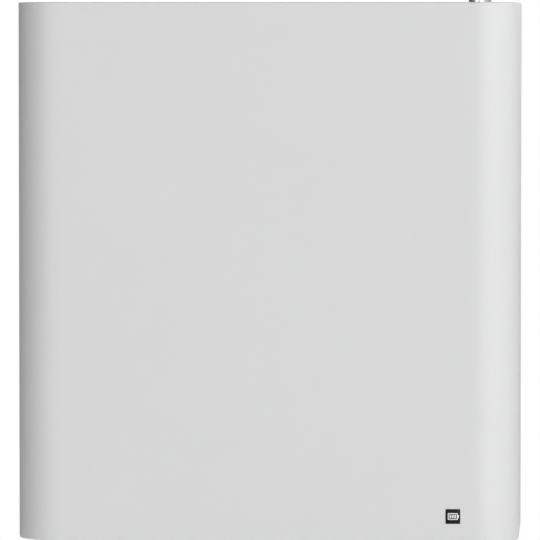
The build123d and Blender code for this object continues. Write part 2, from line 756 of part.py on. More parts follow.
# ================================================================ cable glands
THREAD_LOW = HOUSING_TOP - GLAND_THREAD_L
with BuildPart() as gland_bodies:
    for gland_y in GLAND_YS:
        hexagon_z(GLAND_X, gland_y, GLAND_HEX_R, HOUSING_TOP, GLAND_NUT_LOW)
        rod_z(GLAND_X, gland_y, GLAND_THREAD_R, THREAD_LOW, HOUSING_TOP)
        rod_z(GLAND_X, gland_y, GLAND_STUB_R, GLAND_NUT_LOW, GLAND_STUB_TOP)
        rod_z(GLAND_X, gland_y, GLAND_BORE_R, THREAD_LOW, GLAND_STUB_TOP, Mode.SUBTRACT)
save(gland_bodies, "gland_bodies")

with BuildPart() as gland_nuts:
    for gland_y in GLAND_YS:
        hexagon_z(GLAND_X, gland_y, GLAND_HEX_R, GLAND_NUT_LOW + GLAND_NUT_GAP, GLAND_HEX_TOP)
        rod_z(GLAND_X, gland_y, GLAND_DOME_R, GLAND_HEX_TOP, GLAND_NUT_TOP)
    dome_tops = gland_nuts.faces().sort_by(Axis.Z)[-len(GLAND_YS) :]
    fillet(dome_tops.edges(), GLAND_DOME_EDGE_R)
    for gland_y in GLAND_YS:
        rod_z(GLAND_X, gland_y, GLAND_NUT_BORE_R, GLAND_NUT_LOW, SEAL_LOW, Mode.SUBTRACT)
        rod_z(GLAND_X, gland_y, SEAL_R, GLAND_STUB_TOP, GLAND_NUT_TOP, Mode.SUBTRACT)
save(gland_nuts, "gland_nuts")

with BuildPart() as gland_seals:
    for gland_y in GLAND_YS:
        rod_z(GLAND_X, gland_y, SEAL_R, SEAL_LOW, GLAND_NUT_TOP)
        rod_z(GLAND_X, gland_y, CABLE_R, SEAL_LOW, GLAND_NUT_TOP, Mode.SUBTRACT)
save(gland_seals, "gland_seals")

with BuildPart() as gland_locknuts:
    locknut_top = HOUSING_TOP - SHEET
    locknut_low = locknut_top - GLAND_LOCKNUT_T
    for gland_y in GLAND_YS:
        hexagon_z(GLAND_X, gland_y, GLAND_HEX_R, locknut_low, locknut_top)
        rod_z(GLAND_X, gland_y, GLAND_THREAD_R, locknut_low, locknut_top, Mode.SUBTRACT)
save(gland_locknuts, "gland_locknuts")


# ================================================================ cells
def cell_xs(stack_x):
    """Centres of one stack's cells, from left to right."""
    first = stack_x - STACK_L / 2 + CELL_T / 2
    return [first + index * CELL_PITCH for index in range(CELLS_PER_STACK)]


def cells(stack_x):
    """One stack of pouch cells, each with its two tabs, in the current part."""
    for x in cell_xs(stack_x):
        block(around(x, CELL_T / 2), CELL_SPAN_Y, (CELL_LOW, CELL_HIGH))
        for tab_y in around(CELL_Y, TAB_DY):
            block(around(x, TAB_T / 2), around(tab_y, TAB_W / 2), (CELL_HIGH, TAB_TOP))


def busbar_groups(first_link):
    """First and last cell of each link, when the first link spans `first_link` groups."""
    groups = CELLS_PER_STACK // PARALLEL_CELLS
    edges = sorted({0, groups, *range(first_link, groups, 2)})
    return [
        (low * PARALLEL_CELLS, high * PARALLEL_CELLS - 1)
        for low, high in zip(edges[:-1], edges[1:])
    ]


with BuildPart() as cells_left:
    cells(-STACK_X)
save(cells_left, "cells_left")

with BuildPart() as cells_right:
    cells(STACK_X)
save(cells_right, "cells_right")

with BuildPart() as cell_foam_pads:
    for stack_x in STACK_XS:
        for x in cell_xs(stack_x)[:-1]:
            block(
                (x + CELL_T / 2 + PAD_FIT, x + CELL_PITCH - CELL_T / 2 - PAD_FIT),
                (CELL_SPAN_Y[0] + PAD_INSET, CELL_SPAN_Y[1] - PAD_INSET),
                (CELL_LOW + PAD_INSET, CELL_HIGH - PAD_INSET),
            )
save(cell_foam_pads, "cell_foam_pads")

with BuildPart() as module_end_plates:
    for stack_x in STACK_XS:
        for side in both(1):
            inner = stack_x + side * (STACK_HALF - END_PLATE_SQUEEZE)
            outer = stack_x + side * (STACK_HALF + END_PLATE_T)
            block((inner, outer), CELL_SPAN_Y, (CELL_LOW, CELL_HIGH))
save(module_end_plates, "module_end_plates")

with BuildPart() as module_tie_bands:
    module_l = 2 * (STACK_HALF + END_PLATE_T)
    for band_z in BAND_ZS:
        with BuildSketch(Plane.XY.offset(band_z)):
            for stack_x in STACK_XS:
                with Locations((stack_x, CELL_Y)):
                    Rectangle(module_l + 2 * BAND_T, CELL_DEPTH + 2 * BAND_T)
                    Rectangle(module_l, CELL_DEPTH, mode=Mode.SUBTRACT)
        extrude(amount=BAND_W)
save(module_tie_bands, "module_tie_bands")

with BuildPart() as floor_rails:
    for rail_y in around(CELL_Y, FLOOR_RAIL_DY):
        block(
            both(FLOOR_RAIL_HALF_X),
            around(rail_y, FLOOR_RAIL_HALF),
            (HOUSING_BOTTOM + SHEET, CELL_LOW),
        )
save(floor_rails, "floor_rails")

with BuildPart() as hold_down_rails:
    rail_top = CELL_HIGH + HOLD_RAIL_H
    for rail_y in around(CELL_Y, HOLD_RAIL_DY):
        block(both(HOLD_RAIL_HALF_X), around(rail_y, HOLD_RAIL_HALF), (CELL_HIGH, rail_top))
        block(
            both(HOLD_RAIL_HALF_X),
            around(rail_y, HOLD_RAIL_HALF - HOLD_RAIL_T),
            (CELL_HIGH + HOLD_RAIL_T, rail_top),
            Mode.SUBTRACT,
        )
save(hold_down_rails, "hold_down_rails")

with BuildPart() as cell_busbars:
    for stack_x in STACK_XS:
        xs = cell_xs(stack_x)
        for first_link, tab_y in ((2, CELL_Y - TAB_DY), (1, CELL_Y + TAB_DY)):
            for first, last in busbar_groups(first_link):
                block(
                    (xs[first] - BUSBAR_OVERHANG, xs[last] + BUSBAR_OVERHANG),
                    around(tab_y, TAB_W / 2 - BUSBAR_INSET),
                    (TAB_TOP, BUSBAR_TOP),
                )
save(cell_busbars, "cell_busbars")

with BuildPart() as sense_boards:
    sense_top = SENSE_Z + BOARD_T
    part_y = around(CELL_Y, SENSE_PART_HALF_Y)
    for stack_x in STACK_XS:
        block(around(stack_x, SENSE_HALF_X), around(CELL_Y, SENSE_HALF_Y), (SENSE_Z, sense_top))
        for (left, right), height in (
            (SENSE_SOCKET_X, SENSE_SOCKET_H),
            (SENSE_CHIP_X, SENSE_CHIP_H),
        ):
            block((stack_x + left, stack_x + right), part_y, (sense_top, sense_top + height))
        for post_x in around(stack_x, SENSE_POST_X):
            rod_z(post_x, CELL_Y, STANDOFF_R, CELL_HIGH, SENSE_Z)
save(sense_boards, "sense_boards")

# ================================================================ boards in the wiring bay
with BuildPart() as bms_standoffs:
    for x in (BMS_X[0] + BMS_STANDOFF_INSET, BMS_X[1] - BMS_STANDOFF_INSET):
        for z in (BMS_Z[0] + BMS_STANDOFF_INSET, BMS_Z[1] - BMS_STANDOFF_INSET):
            rod_y(x, z, STANDOFF_R, TUB_REAR_Y, BOARD_Y)
save(bms_standoffs, "bms_standoffs")

with BuildPart() as bms_board:
    block(BMS_X, (BOARD_FACE, BOARD_Y), BMS_Z)
save(bms_board, "bms_board")

with BuildPart() as bms_components:
    for outline in (*BMS_CHIPS, *BMS_SOCKETS, *BMS_SHUNTS):
        board_part(*outline)
    for x in CAPACITOR_XS:
        rod_y(x, CAPACITOR_Z, CAPACITOR_R, BOARD_FACE, BOARD_FACE - CAPACITOR_H)
save(bms_components, "bms_components")

with BuildPart() as bms_heat_spreader:
    board_part(*SPREADER_X, *SPREADER_Z, SPREADER_T)
    fin_y = BOARD_FACE - SPREADER_T - SPREADER_FIN_L / 2
    with BuildSketch(Plane.XY.offset(SPREADER_Z[0])):
        with Locations(((SPREADER_X[0] + SPREADER_X[1]) / 2, fin_y)):
            with GridLocations(SPREADER_FIN_PITCH, 0, SPREADER_FINS, 1):
                Rectangle(SPREADER_FIN_T, SPREADER_FIN_L)
    extrude(amount=SPREADER_Z[1] - SPREADER_Z[0])
save(bms_heat_spreader, "bms_heat_spreader")

with BuildPart() as comms_board:
    block(COMMS_X, (BOARD_FACE, BOARD_Y), COMMS_Z)
    for x in (COMMS_X[0] + COMMS_STANDOFF_INSET, COMMS_X[1] - COMMS_STANDOFF_INSET):
        for z in (COMMS_Z[0] + COMMS_STANDOFF_INSET, COMMS_Z[1] - COMMS_STANDOFF_INSET):
            rod_y(x, z, STANDOFF_R, TUB_REAR_Y, BOARD_Y)
    board_part(*COMMS_CHIP)
save(comms_board, "comms_board")

with BuildPart() as comms_sockets:
    port_y = (BOARD_FACE - SOCKET_L, BOARD_FACE - SOCKET_BACK_T)
    for x in SOCKET_XS:
        board_part(*around(x, SOCKET_HALF), *SOCKET_Z, SOCKET_L)
        block(around(x, PORT_HALF), port_y, PORT_Z, Mode.SUBTRACT)
        block(around(x, PORT_KEY_HALF), port_y, (PORT_KEY_LOW, PORT_Z[0]), Mode.SUBTRACT)
save(comms_sockets, "comms_sockets")

# ================================================================ power parts in the wiring bay
with BuildPart() as main_contactors:
    front_y, rear_y = CONTACTOR_SPAN_Y
    lid_low = CONTACTOR_TOP - CONTACTOR_LID_H
    for x in CONTACTOR_XS:
        block(around(x, CONTACTOR_HALF), CONTACTOR_SPAN_Y, (BAY_FLOOR, lid_low))
        block(
            around(x, CONTACTOR_HALF - CONTACTOR_LID_INSET),
            (front_y + CONTACTOR_LID_INSET, rear_y - CONTACTOR_LID_INSET),
            (lid_low, CONTACTOR_TOP),
        )
        for post_x in around(x, CONTACTOR_POST_DX):
            rod_z(
                post_x,
                CONTACTOR_POST_Y,
                CONTACTOR_POST_R,
                CONTACTOR_TOP,
                CONTACTOR_TOP + CONTACTOR_POST_H,
            )
save(main_contactors, "main_contactors")

with BuildPart() as precharge_relay:
    relay_top = BAY_FLOOR + RELAY_H
    block(both(RELAY_HALF), RELAY_SPAN_Y, (BAY_FLOOR, relay_top))
    block(
        both(RELAY_HALF - RELAY_LID_H),
        (RELAY_SPAN_Y[0], RELAY_SPAN_Y[1] - RELAY_LID_H),
        (relay_top, relay_top + RELAY_LID_H),
    )
save(precharge_relay, "precharge_relay")

with BuildPart() as fuse_holder:
    base_top = BAY_FLOOR + FUSE_BASE_H
    block(
        (FUSE_X[0] - FUSE_BASE_OVERHANG, FUSE_X[1] + FUSE_BASE_OVERHANG),
        around(FUSE_Y, FUSE_BASE_HALF_Y),
        (BAY_FLOOR, base_top),
    )
    for post_x in (FUSE_X[0] - FUSE_POST_OVERHANG, FUSE_X[1] + FUSE_POST_OVERHANG):
        block(
            around(post_x, FUSE_POST_HALF[0]),
            around(FUSE_Y, FUSE_POST_HALF[1]),
            (base_top, FUSE_BLADE_Z[0]),
        )
save(fuse_holder, "fuse_holder")

with BuildPart() as main_fuse:
    left, right = FUSE_X
    rod_x(FUSE_Y, FUSE_Z, FUSE_R, left, right)
    rod_x(FUSE_Y, FUSE_Z, FUSE_CAP_R, left - FUSE_CAP_T, left)
    rod_x(FUSE_Y, FUSE_Z, FUSE_CAP_R, right, right + FUSE_CAP_T)
    for blade_x in (
        (left - FUSE_BLADE_L, left - FUSE_CAP_T),
        (right + FUSE_CAP_T, right + FUSE_BLADE_L),
    ):
        block(blade_x, around(FUSE_Y, FUSE_BLADE_HALF), FUSE_BLADE_Z)
save(main_fuse, "main_fuse")

SHUNT_BASE_TOP = BAY_FLOOR + SHUNT_BASE_H
with BuildPart() as current_shunt:
    for end_x in SHUNT_END_XS:
        block(end_x, around(FUSE_Y, SHUNT_END_HALF_Y), (SHUNT_BASE_TOP, SHUNT_TOP))
    for dy in SHUNT_STRIP_DYS:
        block(
            (SHUNT_END_XS[0][1], SHUNT_END_XS[1][0]),
            around(FUSE_Y + dy, SHUNT_STRIP_HALF),
            SHUNT_STRIP_Z,
        )
    block(SHUNT_BASE_X, around(FUSE_Y, SHUNT_BASE_HALF_Y), (BAY_FLOOR, SHUNT_BASE_TOP))
save(current_shunt, "current_shunt")

with BuildPart() as power_busbars:
    bar_y = around(FUSE_Y, POWER_BAR_HALF)
    bar_low = FUSE_BLADE_Z[1]
    for side in both(1):
        block(around(side * FEED_BAR_X, FEED_BAR_HALF), FEED_BAR_Y, FEED_BAR_Z)
    block(FUSE_BAR_X, bar_y, (bar_low, bar_low + POWER_BAR_T))
    block(DROP_BAR_X, bar_y, (SHUNT_TOP, bar_low))
    block(TERMINAL_BAR_X, bar_y, (SHUNT_TOP, SHUNT_TOP + POWER_BAR_T))
save(power_busbars, "power_busbars")

with BuildPart() as terminal_block:
    base_top = BAY_FLOOR + TERMINAL_BASE_H
    block(around(TERMINAL_X, TERMINAL_BASE_HALF), TERMINAL_BASE_Y, (BAY_FLOOR, base_top))
    for y in TERMINAL_YS:
        block(
            around(TERMINAL_X, TERMINAL_PAD_HALF[0]),
            around(y, TERMINAL_PAD_HALF[1]),
            (base_top, TERMINAL_Z),
        )
    block(
        around(TERMINAL_X, TERMINAL_WALL_HALF),
        TERMINAL_WALL_Y,
        (base_top, TERMINAL_Z + TERMINAL_WALL_H),
    )
save(terminal_block, "terminal_block")

with BuildPart() as terminal_studs:
    for y in TERMINAL_YS:
        rod_z(TERMINAL_X, y, TERMINAL_STUD_R, TERMINAL_Z, TERMINAL_Z + TERMINAL_STUD_H)
save(terminal_studs, "terminal_studs")

with BuildPart() as terminal_nuts:
    washer_top = TERMINAL_Z + TERMINAL_WASHER_T
    nut_top = TERMINAL_Z + TERMINAL_NUT_H
    for y in TERMINAL_YS:
        hexagon_z(TERMINAL_X, y, TERMINAL_NUT_R, washer_top, nut_top)
        rod_z(TERMINAL_X, y, TERMINAL_WASHER_R, TERMINAL_Z, washer_top)
        rod_z(TERMINAL_X, y, TERMINAL_STUD_R, TERMINAL_Z, nut_top, Mode.SUBTRACT)
save(terminal_nuts, "terminal_nuts")

# ================================================================ status lamps beside the button
with BuildPart() as status_lens:
    lens_top = HOUSING_TOP + LENS_RIM_T
    block(
        around(LENS_X, LENS_HALF_X),
        around(BUTTON_Y, LENS_HALF_Y),
        (HOUSING_TOP - LENS_DEPTH, lens_top),
    )
    block(
        around(LENS_X, LENS_HALF_X + LENS_RIM),
        around(BUTTON_Y, LENS_HALF_Y + LENS_RIM),
        (HOUSING_TOP, lens_top),
    )
save(status_lens, "status_lens")

with BuildPart() as status_board:
    block(
        around(LENS_X, STATUS_BOARD_HALF[0]),
        around(BUTTON_Y, STATUS_BOARD_HALF[1]),
        STATUS_BOARD_Z,
    )
    for index in range(LAMP_COUNT):
        lamp_x = LENS_X + (index - (LAMP_COUNT - 1) / 2) * LAMP_PITCH
        block(
            around(lamp_x, LAMP_HALF),
            around(BUTTON_Y, LAMP_HALF),
            (STATUS_BOARD_Z[1], LAMP_TOP_Z),
        )
save(status_board, "status_board")

# ================================================================ breaker, tray, toggle and flap
TOGGLE_SLOT = around(TRAY_Y, TOGGLE_SLOT_Y)
TRAY_UNDERSIDE = TRAY_FLOOR_Z - SHEET

with BuildPart() as breaker_body:
    front_y = TRAY_Y - BREAKER_FRONT
    room_x = both(TOGGLE_HALF_X + TOGGLE_ROOM)
    block(
        both(BREAKER_HALF_X),
        (front_y, TRAY_Y + BREAKER_REAR),
        (BAY_FLOOR + BREAKER_FOOT_GAP, BREAKER_STEP_Z),
    )
    block(
        both(BREAKER_HALF_X),
        around(TRAY_Y, BREAKER_FRONT),
        (BREAKER_STEP_Z, TRAY_UNDERSIDE),
    )
    rod_x(TRAY_Y, TOGGLE_Z, TOGGLE_HUB_R + TOGGLE_ROOM, *room_x, mode=Mode.SUBTRACT)
    block(room_x, TOGGLE_SLOT, (TOGGLE_Z, TRAY_UNDERSIDE), Mode.SUBTRACT)
    rod_x(TRAY_Y, TOGGLE_Z, AXLE_R, *both(AXLE_HALF), mode=Mode.SUBTRACT)
save(breaker_body, "breaker_body")

with BuildPart() as toggle_axle:
    rod_x(TRAY_Y, TOGGLE_Z, AXLE_R, *both(AXLE_HALF))
save(toggle_axle, "toggle_axle")

LEAN = radians(TOGGLE_REST_DEG)
TOGGLE_PLANE = Plane(
    origin=(-TOGGLE_HALF_X, TRAY_Y, TOGGLE_Z),
    x_dir=(0, cos(LEAN), -sin(LEAN)),
    z_dir=(1, 0, 0),
)
with BuildPart() as breaker_toggle:
    with BuildSketch(TOGGLE_PLANE):
        Circle(TOGGLE_HUB_R)
        with Locations((0, TOGGLE_REACH / 2)):
            RectangleRounded(TOGGLE_T, TOGGLE_REACH, TOGGLE_TIP_R)
        Circle(AXLE_R + HINGE_FIT, mode=Mode.SUBTRACT)
    extrude(amount=2 * TOGGLE_HALF_X)
save(breaker_toggle, "breaker_toggle")

with BuildPart() as breaker_tray:
    tray_front, tray_rear = TRAY_SPAN_Y
    block(both(TRAY_HALF_X), TRAY_SPAN_Y, (TRAY_UNDERSIDE, TRAY_TOP_Z))
    block(
        both(TRAY_HALF_X + TRAY_RIM),
        (tray_front - TRAY_RIM, FLAP_AXIS_Y + KNUCKLE_R),
        (HOUSING_TOP, TRAY_TOP_Z),
    )
    block(
        both(TRAY_HALF_X - SHEET),
        (tray_front + SHEET, tray_rear - SHEET),
        (TRAY_FLOOR_Z, TRAY_TOP_Z),
        Mode.SUBTRACT,
    )
    block(
        both(TOGGLE_HALF_X + TOGGLE_SLOT_SIDE),
        TOGGLE_SLOT,
        (TRAY_UNDERSIDE, TRAY_FLOOR_Z),
        Mode.SUBTRACT,
    )
    for span in (
        (-HINGE_HALF, -KNUCKLE_HALF - KNUCKLE_GAP),
        (KNUCKLE_HALF + KNUCKLE_GAP, HINGE_HALF),
    ):
        block(span, around(FLAP_AXIS_Y, KNUCKLE_R), (TRAY_TOP_Z, FLAP_AXIS_Z))
        rod_x(FLAP_AXIS_Y, FLAP_AXIS_Z, KNUCKLE_R, *span)
        rod_x(FLAP_AXIS_Y, FLAP_AXIS_Z, PIN_R, *span, mode=Mode.SUBTRACT)
save(breaker_tray, "breaker_tray")

with BuildPart() as flap_hinge_pin:
    rod_x(FLAP_AXIS_Y, FLAP_AXIS_Z, PIN_R, *both(HINGE_HALF))
save(flap_hinge_pin, "flap_hinge_pin")

with BuildPart() as breaker_flap:
    with BuildSketch(Plane.XY.offset(FLAP_LOW)):
        with Locations((0, (FLAP_REAR_Y + FLAP_FRONT_Y) / 2)):
            RectangleRounded(2 * FLAP_HALF_X, FLAP_REAR_Y - FLAP_FRONT_Y, FLAP_CORNER_R)
    extrude(amount=FLAP_T)
    chamfer(breaker_flap.faces().sort_by(Axis.Z)[-1].edges(), FLAP_EDGE)
    block(
        both(FLAP_GRIP_HALF),
        around(FLAP_FRONT_Y, FLAP_GRIP_DEPTH),
        (FLAP_LOW, FLAP_LOW + FLAP_GRIP_T),
    )
    block(
        both(KNUCKLE_HALF),
        (FLAP_REAR_Y - FLAP_OVERLAP, FLAP_AXIS_Y),
        (FLAP_LOW + FLAP_EDGE, FLAP_LOW + FLAP_T),
    )
    rod_x(FLAP_AXIS_Y, FLAP_AXIS_Z, KNUCKLE_R, *both(KNUCKLE_HALF))
    rod_x(
        FLAP_AXIS_Y, FLAP_AXIS_Z, PIN_R + HINGE_FIT, *both(KNUCKLE_HALF), mode=Mode.SUBTRACT
    )
save(breaker_flap, "breaker_flap")

# ================================================================ power button
NUT_TOP = HOUSING_TOP - SHEET
NUT_LOW = NUT_TOP - BEZEL_NUT_T
BUTTON_BORE_R = BUTTON_R + BUTTON_FIT

with BuildPart() as button_bezel:
    rod_z(BUTTON_X, BUTTON_Y, BEZEL_R, HOUSING_TOP, BEZEL_TOP_Z)
    chamfer(button_bezel.faces().sort_by(Axis.Z)[-1].edges(), BEZEL_EDGE)
    rod_z(BUTTON_X, BUTTON_Y, BEZEL_BODY_R, SPRING_LOW_Z - BEZEL_FLOOR_T, HOUSING_TOP)
    hexagon_z(BUTTON_X, BUTTON_Y, BEZEL_NUT_R, NUT_LOW, NUT_TOP)
    rod_z(BUTTON_X, BUTTON_Y, BUTTON_BORE_R, SPRING_LOW_Z, BEZEL_TOP_Z, Mode.SUBTRACT)
save(button_bezel, "button_bezel")

with BuildPart() as power_button:
    rod_z(BUTTON_X, BUTTON_Y, BUTTON_R, SPRING_LOW_Z + SPRING_H, BUTTON_TOP_Z)
    chamfer(power_button.faces().sort_by(Axis.Z)[-1].edges(), BUTTON_EDGE)
save(power_button, "power_button")

with BuildPart() as button_spring:
    coil_height = SPRING_H - 2 * SPRING_WIRE_R
    with BuildLine() as coil:
        Helix(
            pitch=coil_height / SPRING_TURNS,
            height=coil_height,
            radius=SPRING_R,
            center=(BUTTON_X, BUTTON_Y, SPRING_LOW_Z + SPRING_WIRE_R),
        )
    with BuildSketch(Plane(origin=coil.line @ 0, z_dir=coil.line % 0)):
        Circle(SPRING_WIRE_R)
    sweep(path=coil.line, is_frenet=True)
save(button_spring, "button_spring")


# ================================================================ front cover
def cover_outline(inset):
    """The cover's plan outline, mirrored about its rear plane, in the current sketch."""
    with Locations((0, COVER_REAR_Y)):
        RectangleRounded(
            WIDTH - 2 * inset,
            2 * (COVER_REAR_Y - FRONT_Y - inset),
            COVER_EDGE_R - inset,
        )


with BuildPart() as front_cover:
    with BuildSketch(Plane.XY.offset(BOTTOM_Z)):
        cover_outline(0)
    extrude(amount=HEIGHT)
    fillet(front_cover.edges().filter_by(Axis.Z, reverse=True), COVER_LIP_R)
    block(both(WIDTH), (COVER_REAR_Y, DEPTH), (BOTTOM_Z, TOP_Z), Mode.SUBTRACT)
    with BuildSketch(Plane.XY.offset(BOTTOM_Z + COVER_T)):
        cover_outline(COVER_T)
    extrude(amount=HEIGHT - 2 * COVER_T, mode=Mode.SUBTRACT)
    for low, high, inset in (
        (TOP_Z - COVER_T, TOP_Z, COVER_T + COVER_TOP_FLANGE),
        (BOTTOM_Z, BOTTOM_Z + COVER_T, COVER_T + COVER_BOTTOM_FLANGE),
    ):
        with BuildSketch(Plane.XY.offset(low)):
            cover_outline(inset)
        extrude(amount=high - low, mode=Mode.SUBTRACT)
    for corner_z, inward in ((TOP_Z, -1), (BOTTOM_Z, 1)):
        centre = (COVER_REAR_Y - COVER_REAR_CORNER_R, corner_z + inward * COVER_REAR_CORNER_R)
        with BuildSketch(Plane.YZ):
            with Locations((COVER_REAR_Y, corner_z)):
                Rectangle(2 * COVER_REAR_CORNER_R, 2 * COVER_REAR_CORNER_R)
            with Locations(centre):
                Circle(COVER_REAR_CORNER_R, mode=Mode.SUBTRACT)
        extrude(amount=WIDTH, both=True, mode=Mode.SUBTRACT)
save(front_cover, "front_cover")

with BuildPart() as cover_clips:
    for x, z in CLIP_PLACES:
        rod_y(x, z, CLIP_R, CLIP_REAR_Y, COVER_INNER_Y)
        rod_y(x, z, BALL_R + CLIP_FIT, CLIP_REAR_Y, COVER_INNER_Y + CLIP_BACK_T, Mode.SUBTRACT)
        block(
            around(x, CLIP_SLIT_REACH),
            (CLIP_REAR_Y, COVER_INNER_Y + CLIP_SLIT_BACK),
            around(z, CLIP_SLIT_HALF),
            Mode.SUBTRACT,
        )
save(cover_clips, "cover_clips")

with BuildPart() as badge:
    with BuildSketch(Plane.XZ.offset(DEPTH)):
        with Locations((BADGE_X, BADGE_Z)):
            RectangleRounded(BADGE_SIDE, BADGE_SIDE, BADGE_CORNER_R)
    extrude(amount=BADGE_T)
save(badge, "badge")
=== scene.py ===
import json
import math

import bmesh
import bpy
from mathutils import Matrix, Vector

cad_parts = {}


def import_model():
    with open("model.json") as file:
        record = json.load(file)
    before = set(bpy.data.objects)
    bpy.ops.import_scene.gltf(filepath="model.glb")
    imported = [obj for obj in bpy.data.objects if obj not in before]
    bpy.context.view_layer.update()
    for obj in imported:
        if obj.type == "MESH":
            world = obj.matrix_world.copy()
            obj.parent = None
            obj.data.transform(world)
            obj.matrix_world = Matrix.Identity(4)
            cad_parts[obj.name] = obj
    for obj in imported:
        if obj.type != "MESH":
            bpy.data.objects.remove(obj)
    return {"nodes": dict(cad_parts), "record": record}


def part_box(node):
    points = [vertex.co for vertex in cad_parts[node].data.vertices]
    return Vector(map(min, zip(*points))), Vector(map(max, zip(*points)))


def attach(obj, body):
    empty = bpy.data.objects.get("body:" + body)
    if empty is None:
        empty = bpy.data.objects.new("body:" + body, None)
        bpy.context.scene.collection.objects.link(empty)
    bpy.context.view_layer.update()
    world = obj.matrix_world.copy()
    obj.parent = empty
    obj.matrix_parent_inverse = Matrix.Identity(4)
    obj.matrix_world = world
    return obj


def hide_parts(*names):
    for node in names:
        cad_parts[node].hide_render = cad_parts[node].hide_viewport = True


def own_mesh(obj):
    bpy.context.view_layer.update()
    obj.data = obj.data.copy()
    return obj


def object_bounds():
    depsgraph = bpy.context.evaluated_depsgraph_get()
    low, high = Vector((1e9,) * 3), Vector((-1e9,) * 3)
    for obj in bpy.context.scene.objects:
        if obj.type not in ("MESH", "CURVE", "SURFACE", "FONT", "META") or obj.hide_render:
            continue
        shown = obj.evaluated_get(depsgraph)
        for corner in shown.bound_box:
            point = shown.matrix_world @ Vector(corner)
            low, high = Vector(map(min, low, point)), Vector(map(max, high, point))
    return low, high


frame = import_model()
cad_low, cad_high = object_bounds()
NODES = frame["nodes"]
MM = 0.001

# ---------------------------------------------------------------- sizes taken from the frame
COVER_LOW, COVER_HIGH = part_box("front_cover")
COVER_T = 1.5 * MM
EDGE_R = 40.0 * MM
LIP_R = 1.4 * MM
TOP_FLANGE = 8.0 * MM
BOTTOM_FLANGE = 12.0 * MM
LEAST_FLANGE = 0.1 * MM
REAR_CORNER_R = 12.0 * MM
LENS_PLATE_T = 0.8 * MM


# ================================================================ materials
class Shader:
    """One material's node tree, with short calls for the nodes that the finishes share."""

    def __init__(self, name):
        self.material = bpy.data.materials.new(name)
        self.material.use_nodes = True
        tree = self.material.node_tree
        self.nodes = tree.nodes
        self.links = tree.links
        self.nodes.clear()
        self.out = self.nodes.new("ShaderNodeOutputMaterial")
        self.surface = self.nodes.new("ShaderNodeBsdfPrincipled")
        self.links.new(self.surface.outputs[0], self.out.inputs["Surface"])
        self.coords = self.nodes.new("ShaderNodeTexCoord").outputs["Object"]

    def stretched(self, scale):
        """Object coordinates scaled on each axis."""
        node = self.nodes.new("ShaderNodeMapping")
        node.inputs["Scale"].default_value = scale
        self.links.new(self.coords, node.inputs["Vector"])
        return node.outputs[0]

    def noise(self, scale, detail=3.0, roughness=0.55, coords=None):
        """A noise field between 0 and 1. scale is in features to the metre."""
        node = self.nodes.new("ShaderNodeTexNoise")
        node.inputs["Scale"].default_value = scale
        node.inputs["Detail"].default_value = detail
        node.inputs["Roughness"].default_value = roughness
        self.links.new(coords or self.coords, node.inputs["Vector"])
        return node.outputs["Fac"]

    def cells(self, scale, feature="F1", coords=None):
        """Distance to the nearest point of a cell pattern."""
        node = self.nodes.new("ShaderNodeTexVoronoi")
        node.feature = feature
        node.inputs["Scale"].default_value = scale
        self.links.new(coords or self.coords, node.inputs["Vector"])
        return node.outputs["Distance"]

    def ramp(self, value, low, high, start=0.35, end=0.65):
        """Maps a 0 to 1 field onto a range of values."""
        node = self.nodes.new("ShaderNodeMapRange")
        node.inputs["From Min"].default_value = start
        node.inputs["From Max"].default_value = end
        node.inputs["To Min"].default_value = low
        node.inputs["To Max"].default_value = high
        self.links.new(value, node.inputs["Value"])
        return node.outputs["Result"]

    def mix(self, factor, first, second):
        """A colour between two others."""
        node = self.nodes.new("ShaderNodeMix")
        node.data_type = "RGBA"
        self.links.new(factor, node.inputs["Factor"])
        for socket, colour in ((node.inputs["A"], first), (node.inputs["B"], second)):
            if hasattr(colour, "links"):
                self.links.new(colour, socket)
            else:
                socket.default_value = (*colour, 1.0)
        return node.outputs["Result"]

    def add(self, first, second, weight):
        """first plus second times weight."""
        node = self.nodes.new("ShaderNodeMath")
        node.operation = "MULTIPLY_ADD"
        node.inputs[1].default_value = weight
        self.links.new(second, node.inputs[0])
        self.links.new(first, node.inputs[2])
        return node.outputs[0]

    def set(self, **values):
        """Fixed values, written on the shader's own sockets."""
        for name, value in values.items():
            self.surface.inputs[name.replace("_", " ")].default_value = value

    def drive(self, socket, value):
        """A field that changes over the surface, linked into a socket."""
        self.links.new(value, self.surface.inputs[socket])

    def tint(self, field, first, second, start=0.35, end=0.65):
        """A base colour between two others, which follows a field."""
        self.drive("Base Color", self.mix(self.ramp(field, 0.0, 1.0, start, end), first, second))

    def bump(self, height, depth):
        """Surface relief from a height field. depth is in metres."""
        node = self.nodes.new("ShaderNodeBump")
        node.inputs["Strength"].default_value = 1.0
        node.inputs["Distance"].default_value = depth
        self.links.new(height, node.inputs["Height"])
        self.links.new(node.outputs[0], self.surface.inputs["Normal"])


def shade(colour, factor):
    """A colour made lighter or darker."""
    return tuple(min(1.0, channel * factor) for channel in colour)


def powder_coat(name, colour, roughness=0.46):
    """Fine-texture powder coat: a faint orange peel with a finer grain on it."""
    shader = Shader(name)
    cloud = shader.noise(6.0, detail=2.0)
    grain = shader.noise(1500.0, detail=2.0)
    peel = shader.noise(420.0, detail=1.0)
    tint = shader.mix(shader.ramp(cloud, 0.0, 1.0), shade(colour, 0.992), shade(colour, 1.006))
    speck = shader.mix(shader.ramp(grain, 0.0, 1.0), shade(colour, 0.985), tint)
    shader.drive("Base Color", speck)
    shader.drive("Roughness", shader.ramp(grain, roughness - 0.03, roughness + 0.05))
    shader.set(Specular_IOR_Level=0.42)
    shader.bump(shader.add(grain, peel, 1.6), 0.00003)
    return shader.material


